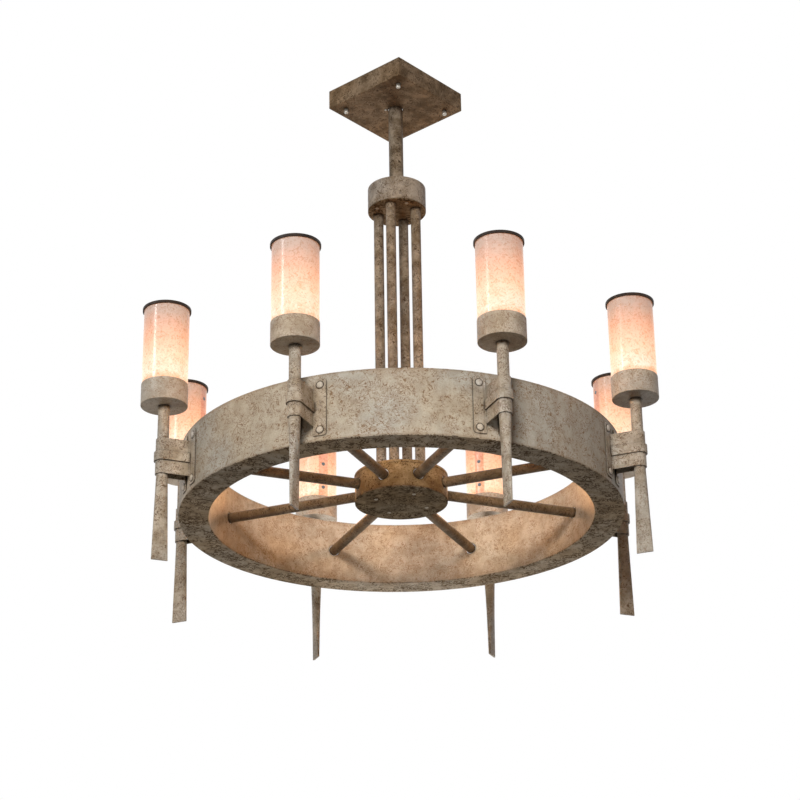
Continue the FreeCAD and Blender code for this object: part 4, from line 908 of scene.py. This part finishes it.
# The bulbs: a frosted glass envelope on a brass screw base, whose thread is a real helix. The light of each
# leaves from its globe, most of it inwards and down.
GLOBE_RADIUS = 0.0238
GLOBE_END = math.radians(-38)
GLOBE_SWEEP = 0.012
BASE_RADIUS = 0.0128
BASE_HEIGHT = 0.027
BULB_COLUMNS = 64
NECK_INSET = 0.0004
CONTACT = [(0, 0), (0.0043, 0), (0.0048, 0.0015), (0.0085, 0.0018)]
THREAD_START = 0.004
THREAD_END = 0.0255
THREAD_PITCH = 0.0036
THREAD_DEPTH = 0.0009
THREAD_ROWS = 110
FADE_IN = 0.003
FADE_OUT = 0.002
LAMP_POWER = 2.3
LAMP_COLOUR = (1.0, 0.50, 0.20)
LAMP_DROP = -0.45
low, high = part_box("bulb_1")
base_level = low.z
globe_centre = high.z - GLOBE_RADIUS


def screw_base(level):
    """The screw base: its radius is R - d/2 (1 - cos(2 pi z / pitch - a)), so the wave climbs by one pitch a
    turn. The wave fades at both ends, and the end closes in a step and a small contact."""
    z = np.linspace(THREAD_START, THREAD_END, THREAD_ROWS)[:, None]
    angle = np.linspace(0, TURN, BULB_COLUMNS + 1)
    fade = np.clip((z - THREAD_START) / FADE_IN, 0, 1) * np.clip((THREAD_END - z) / FADE_OUT, 0, 1)
    r = BASE_RADIUS - THREAD_DEPTH / 2 * fade * (1 - np.cos(TURN * z / THREAD_PITCH - angle))
    wall = np.stack([r * np.cos(angle), r * np.sin(angle), z + 0 * angle], axis=-1)
    end = turned([*CONTACT, (BASE_RADIUS, THREAD_START)], BULB_COLUMNS)
    top = turned([(BASE_RADIUS, THREAD_END), (BASE_RADIUS, BASE_HEIGHT), (0, BASE_HEIGHT)], BULB_COLUMNS)
    return np.concatenate([end, wall[1:], top[1:]]) + np.array([0, 0, level])


def envelope(level):
    """The glass: a half circle and more at the top, and below it a curve (1-t)^2 A + 2t(1-t) P + t^2 B that
    runs on from the circle's slope to the neck."""
    bow = np.linspace(math.pi / 2, GLOBE_END, 33)
    ball = np.column_stack([GLOBE_RADIUS * np.cos(bow), globe_centre + GLOBE_RADIUS * np.sin(bow)])
    knee = ball[-1] + GLOBE_SWEEP * np.array([math.sin(GLOBE_END), -math.cos(GLOBE_END)])
    neck = np.array([BASE_RADIUS - NECK_INSET, level + BASE_HEIGHT])
    t = np.linspace(0, 1, 15)[1:, None]
    curve = (1 - t) ** 2 * ball[-1] + 2 * t * (1 - t) * knee + t ** 2 * neck
    return turned(np.vstack([ball, curve, [(0, level + BASE_HEIGHT)]]), BULB_COLUMNS)


def light(name, kind, place, aim, energy, colour, **settings):
    """A light at a place, aimed at a point."""
    data = bpy.data.lights.new(name, kind)
    data.energy = energy
    data.color = colour
    for key, value in settings.items():
        setattr(data, key, value)
    made = bpy.data.objects.new(name, data)
    made.location = place
    made.rotation_euler = (Vector(aim) - Vector(place)).to_track_quat("-Z", "Y").to_euler()
    bpy.context.scene.collection.objects.link(made)
    return made


frosted, tree, shader = finish("frosted_glass")
haze = ramp(tree, noise(tree, 60, 2), (0.3, (1.0, 0.86, 0.62)), (0.7, (1.0, 0.92, 0.74)))
feed(shader, Emission_Color=haze, Emission_Strength=1.1, Roughness=0.35)
brass, tree, shader = finish("bulb_brass")
tarnish = ramp(tree, noise(tree, 180, 3), (0.35, (0.48, 0.36, 0.16)), (0.65, (0.75, 0.60, 0.32)))
feed(shader, Base_Color=tarnish, Metallic=1.0, Roughness=0.3)
for number, turn in enumerate(torch_turns, 1):
    glass = surface(f"bulb_glass_{number}", [stood(envelope(base_level), TORCH_AXIS, turn)])
    glass.visible_shadow = False
    fitted(glass, frosted, "bulb_glass", f"bulb_{number}", f"bulb_{number}")
    cap = surface(f"bulb_cap_{number}", [stood(screw_base(base_level), TORCH_AXIS, turn)], 60)
    fitted(cap, brass, "bright_hardware", f"bulb_{number}")
    place, aim = stood(np.array([[0, 0, globe_centre], [-1, 0, globe_centre + LAMP_DROP]]), TORCH_AXIS, turn)
    light(f"lamp_{number}", "SPOT", place, aim, LAMP_POWER, LAMP_COLOUR, spot_size=math.pi, spot_blend=1.0,
          shadow_soft_size=GLOBE_RADIUS)


# The studio: a pale floor far below and a white backdrop. A large soft light stands before the object and
# weak ones around it, a narrow one makes the streaks on round metal and mica, and a low beam reaches the far
# side of the inner band.
FLOOR_LEVEL = -2.75
FLOOR_HALF = 30
FLOOR_GLOW = 0.75
SOFT_LIGHT = 0.045
CAMERA_PLACE = Vector((0.0049, -4.1958, -2.5914))
CAMERA_PITCH = math.radians(23.664)
CAMERA_YAW = math.radians(-0.063)
CAMERA_ROLL = math.radians(-0.879)
CAMERA_LENS = 97.87
CAMERA_SENSOR = 36.0
FAR_CLIP = 100.0


def either(tree, factor, first, second):
    """The first shader where the factor is 0 and the second where it is 1."""
    made = tree.nodes.new("ShaderNodeMixShader")
    for socket, value in zip(made.inputs, (factor, first, second)):
        tree.links.new(value, socket)
    return made.outputs[0]


def seen_colour(tree, lit, shown):
    """A shader that lights the object as lit, and that the camera, reflections and glass see as shown."""
    rays = node(tree, "LightPath").outputs
    looked = maths(tree, "MAXIMUM", rays["Is Camera Ray"], rays["Is Glossy Ray"])
    return either(tree, maths(tree, "MAXIMUM", looked, rays["Is Transmission Ray"]), lit, shown)


world = bpy.data.worlds.new("studio")
bpy.context.scene.world = world
world.use_nodes = True
tree = world.node_tree
soft = node(tree, "Background", Color=(1.0, 0.87, 0.72), Strength=SOFT_LIGHT).outputs[0]
white = node(tree, "Background", Color=1.0, Strength=1.0).outputs[0]
tree.links.new(seen_colour(tree, soft, white), tree.nodes["World Output"].inputs["Surface"])

near, far = -FLOOR_HALF, FLOOR_HALF
floor = surface("floor", [np.array([[[near, near, FLOOR_LEVEL], [far, near, FLOOR_LEVEL]],
                                    [[near, far, FLOOR_LEVEL], [far, far, FLOOR_LEVEL]]], float)])
floor.modifiers.clear()
pale_floor, tree, shader = finish("pale_floor")
feed(shader, Base_Color=(0.82, 0.82, 0.81), Roughness=0.9, Specular_IOR_Level=0.1)
both = tree.nodes.new("ShaderNodeAddShader")
tree.links.new(shader.outputs[0], both.inputs[0])
tree.links.new(node(tree, "Emission", Color=1.0, Strength=FLOOR_GLOW).outputs[0], both.inputs[1])
dim = node(tree, "BsdfDiffuse", Color=(0.22, 0.21, 0.20)).outputs[0]
from_below = either(tree, node(tree, "NewGeometry").outputs["Backfacing"],
                    seen_colour(tree, dim, both.outputs[0]), node(tree, "BsdfTransparent").outputs[0])
tree.links.new(from_below, tree.nodes["Material Output"].inputs["Surface"])
floor.data.materials.append(pale_floor)


def soft_light(name, place, aim, width, height, energy, colour, gloss_only=False):
    """A rectangular area light that the camera doesn't see. One such light only makes the streaks on round
    metal and mica, and the others only light the matt paint."""
    made = light(name, "AREA", place, aim, energy, colour, shape="RECTANGLE", size=width, size_y=height)
    made.visible_camera = False
    made.visible_glossy = gloss_only
    made.visible_diffuse = not gloss_only


soft_light("key", (-0.8, -4.8, 0.25), (0, 0, -0.8), 1.3, 1.1, 222, (1.0, 0.985, 0.965))
soft_light("strip", (-2.6, -1.9, -0.1), (0, 0, -0.75), 0.25, 1.7, 34, (1.0, 0.99, 0.98), gloss_only=True)
soft_light("fill", (2.8, -1.4, -0.2), (0, 0, -0.85), 1.2, 1.2, 4.5, (1.0, 0.42, 0.14))
soft_light("back", (0.1, 1.35, -1.36), (0, 0.35, -1.0), 0.7, 0.5, 20, (1.0, 0.96, 0.90))
soft_light("side", (-1.5, 0.3, -1.5), (-0.3, 0, -1.0), 0.6, 0.6, 5, (1.0, 0.97, 0.92))
soft_light("top", (0.3, 0.6, 2.0), (0, 0, -0.9), 1.5, 1.5, 14, (1.0, 0.97, 0.93))
light("beam", "SPOT", (0, -3.2, -2.2), (0.04, INNER_RADIUS, wheel_plane), 290, (1.0, 1.0, 1.0),
      spot_size=math.radians(8.5), spot_blend=1.0, shadow_soft_size=0.25)

camera = bpy.data.cameras.new("camera")
camera.lens = CAMERA_LENS
camera.sensor_width = CAMERA_SENSOR
camera.clip_end = FAR_CLIP
ahead = Vector((math.sin(CAMERA_YAW), math.cos(CAMERA_YAW), 0))
forward = math.cos(CAMERA_PITCH) * ahead + math.sin(CAMERA_PITCH) * Vector((0, 0, 1))
right = Vector((math.cos(CAMERA_YAW), -math.sin(CAMERA_YAW), 0))
up = right.cross(forward)
level_right = math.cos(CAMERA_ROLL) * right + math.sin(CAMERA_ROLL) * up
level_up = math.cos(CAMERA_ROLL) * up - math.sin(CAMERA_ROLL) * right
viewer = bpy.data.objects.new("camera", camera)
axes = Matrix((level_right, level_up, -forward)).transposed().to_4x4()
viewer.matrix_world = Matrix.Translation(CAMERA_PLACE) @ axes
bpy.context.scene.collection.objects.link(viewer)
bpy.context.scene.camera = viewer
bpy.context.scene.view_settings.view_transform = "Standard"
